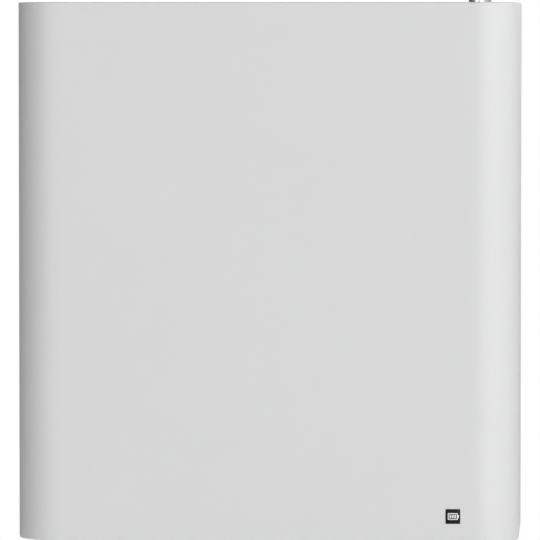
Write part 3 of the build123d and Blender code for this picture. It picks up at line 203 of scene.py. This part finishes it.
def plated_steel(name, colour=(0.60, 0.61, 0.62)):
    """Zinc-plated sheet steel with a faint spangle and rolling lines."""
    shader = Shader(name)
    lines = shader.noise(90.0, detail=4.0, coords=shader.stretched((1.0, 1.0, 22.0)))
    spangle = shader.cells(140.0)
    glint = shader.ramp(spangle, 0.0, 1.0, 0.1, 0.8)
    tone = shader.mix(glint, shade(colour, 0.88), shade(colour, 1.08))
    warm = shader.mix(shader.ramp(shader.noise(14.0), 0.0, 0.35), tone, (0.66, 0.62, 0.50))
    shader.drive("Base Color", warm)
    shader.drive("Roughness", shader.ramp(lines, 0.28, 0.42))
    shader.set(Metallic=1.0)
    shader.bump(lines, 0.00004)
    return shader.material


def machined(name, colour, roughness=0.26, grain=2600.0):
    """Turned or brushed metal with fine tool marks."""
    shader = Shader(name)
    marks = shader.noise(grain, detail=3.0, coords=shader.stretched((0.06, 0.06, 1.0)))
    blotch = shader.noise(60.0, detail=2.0)
    shader.tint(blotch, shade(colour, 0.92), colour)
    shader.drive("Roughness", shader.ramp(marks, roughness - 0.07, roughness + 0.09))
    shader.set(Metallic=1.0)
    shader.bump(marks, 0.00002)
    return shader.material


def cast_aluminium(name, colour=(0.62, 0.63, 0.64)):
    """Satin aluminium with a fine cast or etched grain."""
    shader = Shader(name)
    grain = shader.noise(900.0, detail=4.0)
    stain = shader.noise(18.0, detail=4.0)
    shader.tint(stain, shade(colour, 0.95), colour)
    shader.drive("Roughness", shader.ramp(stain, 0.44, 0.50))
    shader.set(Metallic=1.0)
    shader.bump(grain, 0.00006)
    return shader.material


def moulded(name, colour, roughness=0.5, grain=1100.0, depth=0.00005):
    """Injection-moulded plastic with a spark-eroded texture."""
    shader = Shader(name)
    spark = shader.cells(grain, feature="SMOOTH_F1")
    cloud = shader.noise(40.0, detail=2.0)
    shader.tint(cloud, shade(colour, 0.86), shade(colour, 1.08))
    shader.drive("Roughness", shader.ramp(cloud, roughness - 0.05, roughness + 0.07))
    shader.bump(spark, depth)
    return shader.material


def rubber(name, colour=(0.028, 0.028, 0.030)):
    """Matte black rubber with a dusty bloom."""
    shader = Shader(name)
    bloom = shader.noise(120.0, detail=5.0)
    shader.tint(bloom, colour, shade(colour, 1.9))
    shader.drive("Roughness", shader.ramp(bloom, 0.68, 0.86))
    shader.bump(shader.noise(2200.0), 0.00004)
    return shader.material


def foam(name, colour=(0.16, 0.16, 0.17)):
    """Closed-cell foam, painted darker at each pore's centre as shade in its hollow."""
    shader = Shader(name)
    pore_depth_and_shade = shader.cells(1600.0)
    # painted shade: the colour drops to half at each pore's centre, where the bump sinks the surface
    shader.tint(pore_depth_and_shade, shade(colour, 0.5), colour, 0.1, 0.6)
    shader.set(Roughness=0.95)
    shader.bump(pore_depth_and_shade, 0.0002)
    return shader.material


def pouch_foil(name):
    """Laminated cell foil with shallow crinkles, painted darker in their hollows as shade."""
    shader = Shader(name)
    crinkle_height_and_shade = shader.noise(55.0, detail=5.0, roughness=0.6)
    # painted shade: the colour follows the crinkle height, darker in the hollows and lighter on the
    # ridges
    shader.tint(crinkle_height_and_shade, (0.58, 0.59, 0.62), (0.74, 0.75, 0.78))
    shader.drive("Roughness", shader.ramp(crinkle_height_and_shade, 0.22, 0.36))
    shader.set(Metallic=1.0)
    shader.bump(crinkle_height_and_shade, 0.0006)
    return shader.material


def circuit_board(name):
    """Green solder mask over tracks, with pale pads."""
    shader = Shader(name)
    tracks = shader.nodes.new("ShaderNodeTexBrick")
    tracks.inputs["Scale"].default_value = 160.0
    tracks.inputs["Mortar Size"].default_value = 0.03
    tracks.inputs["Color1"].default_value = (0.012, 0.130, 0.060, 1.0)
    tracks.inputs["Color2"].default_value = (0.010, 0.105, 0.050, 1.0)
    tracks.inputs["Mortar"].default_value = (0.030, 0.220, 0.100, 1.0)
    tracks.offset = 0.37
    shader.links.new(shader.coords, tracks.inputs["Vector"])
    pads = shader.ramp(shader.cells(260.0), 1.0, 0.0, 0.10, 0.14)
    shader.drive("Base Color", shader.mix(pads, tracks.outputs["Color"], (0.62, 0.58, 0.46)))
    shader.drive("Roughness", shader.ramp(shader.noise(60.0), 0.24, 0.36))
    shader.bump(tracks.outputs["Fac"], 0.00003)
    return shader.material


def lamp_lens(name):
    """Frosted light guide over the status lamps."""
    shader = Shader(name)
    haze = shader.noise(300.0, detail=2.0)
    shader.tint(haze, (0.70, 0.75, 0.78), (0.84, 0.88, 0.90))
    shader.drive("Roughness", shader.ramp(haze, 0.16, 0.30))
    shader.set(Transmission_Weight=0.35, IOR=1.49)
    return shader.material


def stage_floor(name, colour):
    """Plain pale floor with a very faint mottle."""
    shader = Shader(name)
    cloud = shader.noise(3.0, detail=3.0)
    shader.tint(cloud, shade(colour, 0.985), colour)
    shader.set(Roughness=0.9)
    return shader.material


COVER_COLOUR = (0.700, 0.702, 0.706)
FINISHES = {
    "cover_paint": powder_coat("cover_paint", COVER_COLOUR),
    "housing_paint": powder_coat("housing_paint", (0.105, 0.110, 0.118), 0.5),
    "lid_paint": powder_coat("lid_paint", (0.42, 0.43, 0.44), 0.5),
    "zinc_steel": plated_steel("zinc_steel"),
    "stainless": machined("stainless", (0.64, 0.64, 0.65)),
    "cast_aluminium": cast_aluminium("cast_aluminium"),
    "nickel_brass": machined("nickel_brass", (0.80, 0.79, 0.76), 0.36),
    "copper": machined("copper", (0.72, 0.33, 0.18), 0.3),
    "black_rubber": rubber("black_rubber"),
    "grey_foam": foam("grey_foam"),
    "black_plastic": moulded("black_plastic", (0.022, 0.022, 0.024)),
    "white_plastic": moulded("white_plastic", (0.72, 0.72, 0.70), 0.4, depth=0.00002),
    "red_plastic": moulded("red_plastic", (0.50, 0.025, 0.020), 0.34, depth=0.00002),
    "pouch_foil": pouch_foil("pouch_foil"),
    "circuit_board": circuit_board("circuit_board"),
    "board_parts": moulded("board_parts", (0.03, 0.03, 0.032), 0.42, depth=0.00002),
    "lamp_lens": lamp_lens("lamp_lens"),
    "badge_black": moulded("badge_black", (0.012, 0.012, 0.013), 0.22, depth=0.000004),
}
BADGE_WHITE = moulded("badge_white", (0.86, 0.86, 0.86), 0.35, depth=0.000004)

SLOT_OF = {entry["node"]: entry["material_slot"] for entry in frame["record"]["subparts"]}


# ================================================================ carried-over CAD pieces
SOFT_EDGES = {
    "wall_bracket": 0.5,
    "hanging_hooks": 0.6,
    "housing_tub": 0.4,
    "housing_back": 0.6,
    "rear_heat_sink": 0.35,
    "carry_handle_left": 1.6,
    "carry_handle_right": 1.6,
    "cell_bay_lid": 0.4,
    "wiring_bay_lid": 0.4,
    "breaker_flap": 0.5,
    "breaker_tray": 0.4,
    "breaker_toggle": 0.6,
    "main_contactors": 0.8,
    "breaker_body": 0.6,
    "terminal_block": 0.6,
}
SHARP_DEG = 32.0


def soften(obj, width):
    """Rounds a piece's sharp edges with a small bevel that follows its angles."""
    bevel = obj.modifiers.new("soft_edges", "BEVEL")
    bevel.width = width * MM
    bevel.segments = 3
    bevel.limit_method = "ANGLE"
    bevel.angle_limit = math.radians(SHARP_DEG)
    bevel.harden_normals = False


for node_name, cad_object in NODES.items():
    finish = FINISHES[SLOT_OF[node_name]]
    if not cad_object.material_slots:
        cad_object.data.materials.append(finish)
    for material_slot in cad_object.material_slots:
        material_slot.material = finish
    if node_name in SOFT_EDGES:
        soften(cad_object, SOFT_EDGES[node_name])


# ================================================================ mesh helpers
def new_piece(name, mesh_builder, material, body, node=None):
    """Makes a piece from a bmesh, gives it its finish and hangs it on its body."""
    mesh = bpy.data.meshes.new(name)
    mesh_builder.normal_update()
    bmesh.ops.recalc_face_normals(mesh_builder, faces=mesh_builder.faces)
    mesh_builder.to_mesh(mesh)
    mesh_builder.free()
    for polygon in mesh.polygons:
        polygon.use_smooth = True
    mesh.set_sharp_from_angle(angle=math.radians(SHARP_DEG))
    obj = bpy.data.objects.new(name, mesh)
    bpy.context.scene.collection.objects.link(obj)
    mesh.materials.append(material)
    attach(obj, body)
    if node:
        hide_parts(node)
    return obj


def skin(builder, rings, closed_ring=True, closed_path=False, caps=True):
    """Joins a list of point rings into a surface, with flat caps at its two ends."""
    made = [[builder.verts.new(point) for point in ring] for ring in rings]
    count = len(made[0])
    steps = range(len(made) if closed_path else len(made) - 1)
    for step in steps:
        here, there = made[step], made[(step + 1) % len(made)]
        for index in range(count if closed_ring else count - 1):
            after = (index + 1) % count
            builder.faces.new((here[index], here[after], there[after], there[index]))
    if caps and not closed_path:
        builder.faces.new(list(reversed(made[0])))
        builder.faces.new(made[-1])


def arc(centre, radius, start_deg, end_deg, steps):
    """Points on an arc in a plane, both ends included."""
    points = []
    for step in range(steps + 1):
        angle = math.radians(start_deg + (end_deg - start_deg) * step / steps)
        points.append((centre[0] + radius * math.cos(angle), centre[1] + radius * math.sin(angle)))
    return points


def quarter(steps):
    """Angles in radians from 0 to a quarter turn."""
    return [math.pi / 2 * step / steps for step in range(steps + 1)]


def rounded(across, along, radius, inset, steps):
    """A rectangle with rounded corners, drawn inset from its (low, high) spans, as flat points."""
    points = []
    for centre, start in (
        ((across[1] - radius, along[1] - radius), 0),
        ((across[0] + radius, along[1] - radius), 90),
        ((across[0] + radius, along[0] + radius), 180),
        ((across[1] - radius, along[0] + radius), 270),
    ):
        points += arc(centre, radius - inset, start, start + 90, steps)
    return points


# ================================================================ front cover
def cover_path():
    """The cover's plan path from the left rear edge round the front to the right rear edge.

    Each station is (x, y, inward x, inward y).
    """
    half = COVER_HIGH.x
    front = COVER_LOW.y
    rear = COVER_HIGH.y
    wrap_steps = 40
    side_steps = 10
    corner_steps = 14
    stations = []
    for step in range(corner_steps):
        angle = math.pi / 2 * step / corner_steps
        stations.append((-half, rear - REAR_CORNER_R * (1 - math.cos(angle)), 1.0, 0.0))
    straight = rear - REAR_CORNER_R
    wrap = front + EDGE_R
    for step in range(side_steps):
        stations.append((-half, straight + (wrap - straight) * step / side_steps, 1.0, 0.0))
    for x, y in arc((-half + EDGE_R, wrap), EDGE_R, 180, 270, wrap_steps):
        stations.append((x, y, (-half + EDGE_R - x) / EDGE_R, (wrap - y) / EDGE_R))
    front_steps = 24
    span = 2 * (half - EDGE_R)
    for step in range(1, front_steps):
        stations.append((-half + EDGE_R + span * step / front_steps, front, 0.0, 1.0))
    mirrored = [(-x, y, -nx, ny) for x, y, nx, ny in stations[: len(stations) - front_steps + 1]]
    return stations + list(reversed(mirrored))


def cover_section(top, bottom, top_flange, bottom_flange):
    """The cover's closed upright section as (inset, height) points, round its outer lip."""
    lip_steps = 6
    wall_steps = 16
    section = [
        (LIP_R - LIP_R * math.cos(a), top - LIP_R + LIP_R * math.sin(a)) for a in quarter(lip_steps)
    ]
    section.append((COVER_T + top_flange, top))
    section.append((COVER_T + top_flange, top - COVER_T))
    section.append((COVER_T, top - COVER_T))
    for step in range(1, wall_steps):
        section.append((COVER_T, top - COVER_T + (bottom - top + 2 * COVER_T) * step / wall_steps))
    section.append((COVER_T, bottom + COVER_T))
    section.append((COVER_T + bottom_flange, bottom + COVER_T))
    section.append((COVER_T + bottom_flange, bottom))
    section += [
        (LIP_R - LIP_R * math.sin(a), bottom + LIP_R - LIP_R * math.cos(a)) for a in quarter(lip_steps)
    ]
    for step in range(1, wall_steps):
        section.append((0.0, bottom + LIP_R + (top - bottom - 2 * LIP_R) * step / wall_steps))
    return section


def front_cover():
    """The folded sheet cover: a smooth wrap with return flanges and rounded rear corners."""
    builder = bmesh.new()
    rings = []
    straight = COVER_HIGH.y - REAR_CORNER_R
    for x, y, nx, ny in cover_path():
        past = max(0.0, y - straight)
        drop = REAR_CORNER_R - math.sqrt(max(0.0, REAR_CORNER_R**2 - past**2))
        keep = 1.0 - past / REAR_CORNER_R
        section = cover_section(
            COVER_HIGH.z - drop,
            COVER_LOW.z + drop,
            max(LEAST_FLANGE, TOP_FLANGE * keep),
            max(LEAST_FLANGE, BOTTOM_FLANGE * keep),
        )
        rings.append([(x + nx * inset, y + ny * inset, z) for inset, z in section])
    skin(builder, rings)
    return new_piece(
        "front_cover_sheet", builder, FINISHES["cover_paint"], "cover", "front_cover"
    )


front_cover()


# ================================================================ badge
BADGE_CORNER_R = 0.5 * MM
BADGE_EDGE = 0.08 * MM
BADGE_FACE_SINK = 0.1 * MM
MARK_SINK = 0.02 * MM
MARK_HALF_W = 4.5 * MM
MARK_HALF_H = 3.0 * MM
MARK_BAR = 0.85 * MM
MARK_CORNER_R = 0.25 * MM
MARK_EDGE = 0.03 * MM
POLE_W = 0.9 * MM
POLE_HALF_H = 1.3 * MM
CELL_COUNT = 3
CELL_W = 1.5 * MM
CELL_PITCH = 2.1 * MM
CELL_FROM_SIDE = 1.6 * MM
CELL_FROM_TOP = 1.5 * MM
UPRIGHT_CORNER_STEPS = 5


def plate(builder, x, z, rear, front, radius, bevel):
    """A flat plate with rounded corners that faces the front, with softened front edges."""
    rings = []
    for inset, y in ((0, rear), (0, front + bevel), (bevel, front)):
        ring = rounded(x, z, radius, inset, UPRIGHT_CORNER_STEPS)
        rings.append([(px, y, pz) for px, pz in ring])
    skin(builder, rings)


def battery_mark(centre_x, centre_z):
    """The (across, up) spans of a battery pictogram's frame, pole and cells."""
    left, right = centre_x - MARK_HALF_W, centre_x + MARK_HALF_W
    down, up = centre_z - MARK_HALF_H, centre_z + MARK_HALF_H
    spans = [
        ((left, right), (up - MARK_BAR, up)),
        ((left, right), (down, down + MARK_BAR)),
        ((left, left + MARK_BAR), (down + MARK_BAR, up - MARK_BAR)),
        ((right - MARK_BAR, right), (down + MARK_BAR, up - MARK_BAR)),
        ((right, right + POLE_W), (centre_z - POLE_HALF_H, centre_z + POLE_HALF_H)),
    ]
    for cell in range(CELL_COUNT):
        start = left + CELL_FROM_SIDE + cell * CELL_PITCH
        spans.append(((start, start + CELL_W), (down + CELL_FROM_TOP, up - CELL_FROM_TOP)))
    return spans


def badge():
    """A plain dark plate with a raised battery pictogram."""
    low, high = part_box("badge")
    face = low.y + BADGE_FACE_SINK
    builder = bmesh.new()
    plate(builder, (low.x, high.x), (low.z, high.z), high.y, face, BADGE_CORNER_R, BADGE_EDGE)
    new_piece("badge_plate", builder, FINISHES["badge_black"], "cover", "badge")
    builder = bmesh.new()
    for x, z in battery_mark((low.x + high.x) / 2, (low.z + high.z) / 2):
        radius = min(MARK_CORNER_R, (x[1] - x[0]) / 3)
        plate(builder, x, z, face + MARK_SINK, low.y + MARK_SINK, radius, MARK_EDGE)
    new_piece("badge_pictogram", builder, BADGE_WHITE, "cover", None)


badge()


# ================================================================ turned and hexagonal pieces
HEX_STEPS = 96
HEX_CHAMFER_H = 0.9 * MM
HEX_CHAMFER_R = 1.6 * MM


def hex_reach(apothem, angle):
    """Distance from the axis to a hexagon's side, with a corner towards +X."""
    return apothem / math.cos((angle + math.pi / 6) % (math.pi / 3) - math.pi / 6)


def turned(builder, centre, profile, steps=HEX_STEPS):
    """A solid of revolution from (radius, height, apothem or None) points, closed on itself.

    Where an apothem is given, the section is the smaller of the circle and the hexagon.
    """
    rings = []
    for step in range(steps):
        angle = 2 * math.pi * step / steps
        ring = []
        for radius, height, apothem in profile:
            reach = radius if apothem is None else min(radius, hex_reach(apothem, angle))
            ring.append(
                (centre.x + reach * math.cos(angle), centre.y + reach * math.sin(angle), height)
            )
        rings.append(ring)
    skin(builder, rings, closed_path=True)


def hex_profile(low, high, corner_r, apothem):
    """Outside of a hexagon with the turned chamfers that a real nut has at both ends."""
    return [
        (corner_r - HEX_CHAMFER_R, low, apothem),
        (corner_r, low + HEX_CHAMFER_H, apothem),
        (corner_r, high - HEX_CHAMFER_H, apothem),
        (corner_r - HEX_CHAMFER_R, high, apothem),
    ]


def round_points(*pairs):
    """Profile points on plain circles, from (radius, height) pairs."""
    return [(radius, height, None) for radius, height in pairs]


# ================================================================ cable glands
GLAND_COUNT = 3
GLAND_HEX_H = 6.7 * MM
GLAND_DOME_STEP = 0.2 * MM
GLAND_DOME_R = 9.5 * MM
GLAND_SHOULDER_R = 2.9 * MM
GLAND_MOUTH_R = 6.4 * MM
GLAND_CAVITY_R = 9.3 * MM
GLAND_CAVITY_H = 5.2 * MM
GLAND_FOOT_GAP = 0.3 * MM
GLAND_STUB_R = 9.2 * MM
GLAND_STUB_H = 4.6 * MM
GLAND_BORE_R = 6.0 * MM
GLAND_THREAD_R = 10.0 * MM
SEAL_BORE_R = 5.0 * MM
SEAL_CROWN_R = (5.9 * MM, 5.5 * MM)
SEAL_R = 6.35 * MM
SEAL_LIFT = 5.3 * MM
SEAL_CROWN_SINK = 0.1 * MM
SEAL_EDGE_SINK = 0.6 * MM
SEAL_STEPS = 64
DOME_STEPS = 8


def gland_centres():
    """The middle of each gland's foot, from front to rear."""
    low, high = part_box("gland_nuts")
    reach = (high.x - low.x) / 2
    apothem = reach * math.cos(math.pi / 6)
    first = low.y + apothem
    last = high.y - apothem
    return [
        Vector(((low.x + high.x) / 2, first + (last - first) * index / (GLAND_COUNT - 1), low.z))
        for index in range(GLAND_COUNT)
    ]


def dome_nut(foot, top, corner_r, apothem):
    """The dome nut's closed section: hexagon, dome, mouth and threaded cavity."""
    hex_top = foot + GLAND_HEX_H
    outside = hex_profile(foot, hex_top, corner_r, apothem)
    outside += round_points((GLAND_DOME_R, hex_top + GLAND_DOME_STEP))
    for angle in quarter(DOME_STEPS):
        radius = GLAND_DOME_R - GLAND_SHOULDER_R + GLAND_SHOULDER_R * math.cos(angle)
        height = top - GLAND_SHOULDER_R + GLAND_SHOULDER_R * math.sin(angle)
        outside += round_points((radius, height))
    ceiling = foot + GLAND_CAVITY_H
    inside = round_points(
        (GLAND_MOUTH_R, top), (GLAND_MOUTH_R, ceiling), (GLAND_CAVITY_R, ceiling), (GLAND_CAVITY_R, foot)
    )
    return outside + inside


def gland_body(thread_low, seat, nut_foot, corner_r, apothem):
    """The body's closed section: hexagon, stub inside the nut, bore and thread below the seat."""
    hex_top = nut_foot - GLAND_FOOT_GAP
    stub_top = nut_foot + GLAND_STUB_H
    return hex_profile(seat, hex_top, corner_r, apothem) + round_points(
        (GLAND_STUB_R, hex_top),
        (GLAND_STUB_R, stub_top),
        (GLAND_BORE_R, stub_top),
        (GLAND_BORE_R, thread_low),
        (GLAND_THREAD_R, thread_low),
        (GLAND_THREAD_R, seat),
    )


def seal_ring(nut_foot, top):
    """The rubber seal's closed section, with a crowned upper end."""
    low, edge, crown = nut_foot + SEAL_LIFT, top - SEAL_EDGE_SINK, top - SEAL_CROWN_SINK
    return round_points(
        (SEAL_BORE_R, low),
        (SEAL_R, low),
        (SEAL_R, edge),
        (SEAL_CROWN_R[0], crown),
        (SEAL_CROWN_R[1], crown),
        (SEAL_BORE_R, edge),
    )


def glands():
    """Nickel-plated cable glands: a hexagonal foot, a domed nut and a rubber seal."""
    nut_low, nut_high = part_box("gland_nuts")
    thread_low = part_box("gland_bodies")[0].z
    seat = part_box("status_lens")[1].z - LENS_PLATE_T
    foot, top = nut_low.z, nut_high.z
    corner_r = (nut_high.x - nut_low.x) / 2
    apothem = corner_r * math.cos(math.pi / 6)
    nuts, bodies, seals = bmesh.new(), bmesh.new(), bmesh.new()
    for centre in gland_centres():
        turned(nuts, centre, dome_nut(foot, top, corner_r, apothem))
        turned(bodies, centre, gland_body(thread_low, seat, foot, corner_r, apothem))
        turned(seals, centre, seal_ring(foot, top), SEAL_STEPS)
    for name, builder, node, finish in (
        ("gland_dome_nuts", nuts, "gland_nuts", "nickel_brass"),
        ("gland_hex_bodies", bodies, "gland_bodies", "nickel_brass"),
        ("gland_rubber_seals", seals, "gland_seals", "black_rubber"),
    ):
        new_piece(name, builder, FINISHES[finish], "battery_pack", node)


glands()


# ================================================================ power symbol
SYMBOL_RING_R = (2.7 * MM, 3.5 * MM)
SYMBOL_RING_DEG = (125, 415)
SYMBOL_RING_STEPS = 48
SYMBOL_STROKE_HALF_W = 0.4 * MM
SYMBOL_STROKE_Y = (1.0 * MM, 4.3 * MM)
SYMBOL_SINK = 0.05 * MM
SYMBOL_RISE = 0.04 * MM


def upright_section(across, low, high):
    """A rectangle's corners as (across, height) points."""
    return ((across[0], low), (across[1], low), (across[1], high), (across[0], high))


def power_symbol():
    """The standard open ring and stroke on the push button's top."""
    low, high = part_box("power_button")
    centre_x, centre_y = (low.x + high.x) / 2, (low.y + high.y) / 2
    sunk, proud = high.z - SYMBOL_SINK, high.z + SYMBOL_RISE
    builder = bmesh.new()
    ring_section = upright_section(SYMBOL_RING_R, sunk, proud)
    rings = []
    for x, y in arc((0.0, 0.0), 1.0, *SYMBOL_RING_DEG, SYMBOL_RING_STEPS):
        rings.append([(centre_x + x * r, centre_y + y * r, height) for r, height in ring_section])
    skin(builder, rings)
    span = (-SYMBOL_STROKE_HALF_W, SYMBOL_STROKE_HALF_W)
    stroke_section = upright_section(span, sunk, proud)
    stroke = []
    for y in SYMBOL_STROKE_Y:
        stroke.append([(centre_x + x, centre_y + y, height) for x, height in stroke_section])
    skin(builder, stroke)
    new_piece("power_symbol", builder, FINISHES["badge_black"], "button", None)


power_symbol()


# ================================================================ status lens
LENS_CORNER_R = 3.0 * MM
LENS_EDGE = 0.3 * MM
LENS_PLUG_SIZE = (30.0 * MM, 7.0 * MM)
LENS_PLUG_CORNER_R = 0.6 * MM
LENS_PLUG_EDGE = 0.01 * MM
LAMP_COUNT = 5
LAMP_PITCH = 6.0 * MM
LAMP_R = 1.5 * MM
LAMP_CORNER_R = 1.4 * MM
LAMP_RISE = 0.15 * MM
LAMP_GREEN = moulded("lamp_green", (0.16, 0.46, 0.20), 0.25, depth=0.000004)
FLAT_CORNER_STEPS = 8


def flat_plate(builder, x, y, bottom, top, radius, bevel):
    """A flat plate with rounded corners that faces up, with softened upper edges."""
    rings = []
    for inset, height in ((0, bottom), (0, top - bevel), (bevel, top)):
        ring = rounded(x, y, radius, inset, FLAT_CORNER_STEPS)
        rings.append([(px, py, height) for px, py in ring])
    skin(builder, rings)


def status_lens():
    """The window over the status lamps: a thin plate on a plug, with five lamp marks."""
    low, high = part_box("status_lens")
    centre = (low + high) / 2
    plug_w, plug_d = LENS_PLUG_SIZE
    plug_x = (centre.x - plug_w / 2, centre.x + plug_w / 2)
    plug_y = (centre.y - plug_d / 2, centre.y + plug_d / 2)
    seat = high.z - LENS_PLATE_T
    builder = bmesh.new()
    flat_plate(builder, (low.x, high.x), (low.y, high.y), seat, high.z, LENS_CORNER_R, LENS_EDGE)
    flat_plate(builder, plug_x, plug_y, low.z, seat, LENS_PLUG_CORNER_R, LENS_PLUG_EDGE)
    new_piece(
        "status_window", builder, FINISHES["lamp_lens"], "battery_pack", "status_lens"
    )
    builder = bmesh.new()
    foot, crown = high.z - LAMP_RISE / 3, high.z + LAMP_RISE
    span_y = (centre.y - LAMP_R, centre.y + LAMP_R)
    for lamp in range(LAMP_COUNT):
        x = centre.x + (lamp - (LAMP_COUNT - 1) / 2) * LAMP_PITCH
        span_x = (x - LAMP_R, x + LAMP_R)
        flat_plate(builder, span_x, span_y, foot, crown, LAMP_CORNER_R, LAMP_RISE / 2)
    new_piece("status_lamps", builder, LAMP_GREEN, "battery_pack", None)


status_lens()


# ================================================================ button spring
SPRING_TURNS = 4
SPRING_WIRE_R = 0.5 * MM
SPRING_CLOSED_TURNS = 0.5
SPRING_CLOSED_PITCH = 1.0 * MM
SPRING_OPEN_PITCH = 2.0 * MM
SPRING_TURN_STEPS = 36
SPRING_WIRE_SIDES = 10


def coil_height(turn):
    """Height of the spring wire's centre above its lower end, with half a closed turn at each end."""
    open_turns = SPRING_TURNS - 2 * SPRING_CLOSED_TURNS
    lower = min(turn, SPRING_CLOSED_TURNS)
    middle = min(max(turn - SPRING_CLOSED_TURNS, 0.0), open_turns)
    upper = max(turn - (SPRING_TURNS - SPRING_CLOSED_TURNS), 0.0)
    return (lower + upper) * SPRING_CLOSED_PITCH + middle * SPRING_OPEN_PITCH


def spring():
    """The coil spring under the push button, drawn at one fixed length; the real one shortens as the
    button goes in.
    """
    low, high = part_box("button_spring")
    centre = (low + high) / 2
    coil_r = (high.x - low.x) / 2 - SPRING_WIRE_R
    steps = SPRING_TURNS * SPRING_TURN_STEPS
    rings = []
    for step in range(steps + 1):
        turn = SPRING_TURNS * step / steps
        angle = 2 * math.pi * turn
        ring = []
        for side in range(SPRING_WIRE_SIDES):
            around = 2 * math.pi * side / SPRING_WIRE_SIDES
            reach = coil_r + SPRING_WIRE_R * math.cos(around)
            height = low.z + SPRING_WIRE_R + coil_height(turn) + SPRING_WIRE_R * math.sin(around)
            ring.append(
                (centre.x + reach * math.cos(angle), centre.y + reach * math.sin(angle), height)
            )
        rings.append(ring)
    builder = bmesh.new()
    skin(builder, rings)
    coil = new_piece(
        "button_coil", builder, FINISHES["stainless"], "battery_pack", "button_spring"
    )
    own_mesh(coil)


spring()


# ================================================================ stage, light and camera
FLOOR_DROP = 0.55
FLOOR_Z = cad_low.z - FLOOR_DROP
FLOOR_HALF = 3.0
CENTRE = (cad_low + cad_high) / 2
FILL_LEVEL = 0.10
FILL_FROM_RIGHT = 0.32


def floor():
    """A plain pale floor under the wall unit, which isn't part of it."""
    builder = bmesh.new()
    corners = []
    for x, y in ((-1, -1), (1, -1), (1, 1), (-1, 1)):
        corners.append(builder.verts.new((x * FLOOR_HALF, y * FLOOR_HALF, FLOOR_Z)))
    builder.faces.new(corners)
    mesh = bpy.data.meshes.new("floor")
    builder.to_mesh(mesh)
    builder.free()
    obj = bpy.data.objects.new("floor", mesh)
    bpy.context.scene.collection.objects.link(obj)
    mesh.materials.append(stage_floor("floor", (0.86, 0.86, 0.86)))


def softbox(name, azimuth, elevation, distance, size, power):
    """A rectangular area light that faces the unit. Azimuth 0 is in front, 90 to the right."""
    data = bpy.data.lights.new(name, "AREA")
    data.shape = "RECTANGLE"
    data.size, data.size_y = size
    data.energy = power
    obj = bpy.data.objects.new(name, data)
    bpy.context.scene.collection.objects.link(obj)
    a, e = math.radians(azimuth), math.radians(elevation)
    away = Vector((math.sin(a) * math.cos(e), -math.cos(a) * math.cos(e), math.sin(e)))
    obj.location = CENTRE + away * distance
    obj.rotation_mode = "QUATERNION"
    obj.rotation_quaternion = away.to_track_quat("Z", "Y")


def world():
    """White for the camera. As fill light, a dim grey that grows stronger towards the right."""
    made = bpy.data.worlds.new("studio")
    bpy.context.scene.world = made
    made.use_nodes = True
    nodes, links = made.node_tree.nodes, made.node_tree.links
    nodes.clear()
    out = nodes.new("ShaderNodeOutputWorld")
    seen = nodes.new("ShaderNodeBackground")
    fill = nodes.new("ShaderNodeBackground")
    for shader in (seen, fill):
        shader.inputs["Color"].default_value = (1.0, 1.0, 1.0, 1.0)
    direction = nodes.new("ShaderNodeTexCoord").outputs["Generated"]
    split = nodes.new("ShaderNodeSeparateXYZ")
    slope = nodes.new("ShaderNodeMapRange")
    slope.inputs["From Min"].default_value = 0.0
    slope.inputs["From Max"].default_value = 1.0
    slope.inputs["To Min"].default_value = FILL_LEVEL
    slope.inputs["To Max"].default_value = FILL_LEVEL + FILL_FROM_RIGHT
    links.new(direction, split.inputs[0])
    links.new(split.outputs["X"], slope.inputs["Value"])
    links.new(slope.outputs["Result"], fill.inputs["Strength"])
    path = nodes.new("ShaderNodeLightPath")
    mix = nodes.new("ShaderNodeMixShader")
    links.new(path.outputs["Is Camera Ray"], mix.inputs[0])
    links.new(fill.outputs[0], mix.inputs[1])
    links.new(seen.outputs[0], mix.inputs[2])
    links.new(mix.outputs[0], out.inputs["Surface"])


floor()
world()
softbox("front_left", -25.0, 10.0, 4.5, (1.6, 2.0), 62.0)
softbox("front_right", 25.0, 10.0, 4.5, (1.6, 2.0), 46.0)
softbox("corner_right", 45.0, 10.0, 3.5, (1.2, 2.0), 23.0)
softbox("side_right", 88.0, 34.0, 3.5, (1.2, 2.0), 36.0)
softbox("back_left", -158.0, 32.0, 3.5, (1.6, 1.6), 34.0)
softbox("back_right", 160.0, 20.0, 3.5, (1.6, 1.6), 24.0)

CAMERA_RIGHT = 283.0 * MM
CAMERA_DISTANCE = 5.0
CAMERA_YAW = 3.20
CAMERA_PITCH = 2.74
FOCAL_LENGTH = 373.2
SENSOR = 36.0


def camera():
    """A long lens to the right of the unit and level with its top edge."""
    data = bpy.data.cameras.new("camera")
    data.sensor_width = SENSOR
    data.lens = FOCAL_LENGTH
    data.clip_end = 100.0
    obj = bpy.data.objects.new("camera", data)
    bpy.context.scene.collection.objects.link(obj)
    obj.location = (CAMERA_RIGHT, COVER_LOW.y - CAMERA_DISTANCE, COVER_HIGH.z)
    obj.rotation_euler = (math.radians(90.0 - CAMERA_PITCH), 0.0, math.radians(CAMERA_YAW))
    bpy.context.scene.camera = obj


camera()
bpy.context.scene.view_settings.view_transform = "Standard"
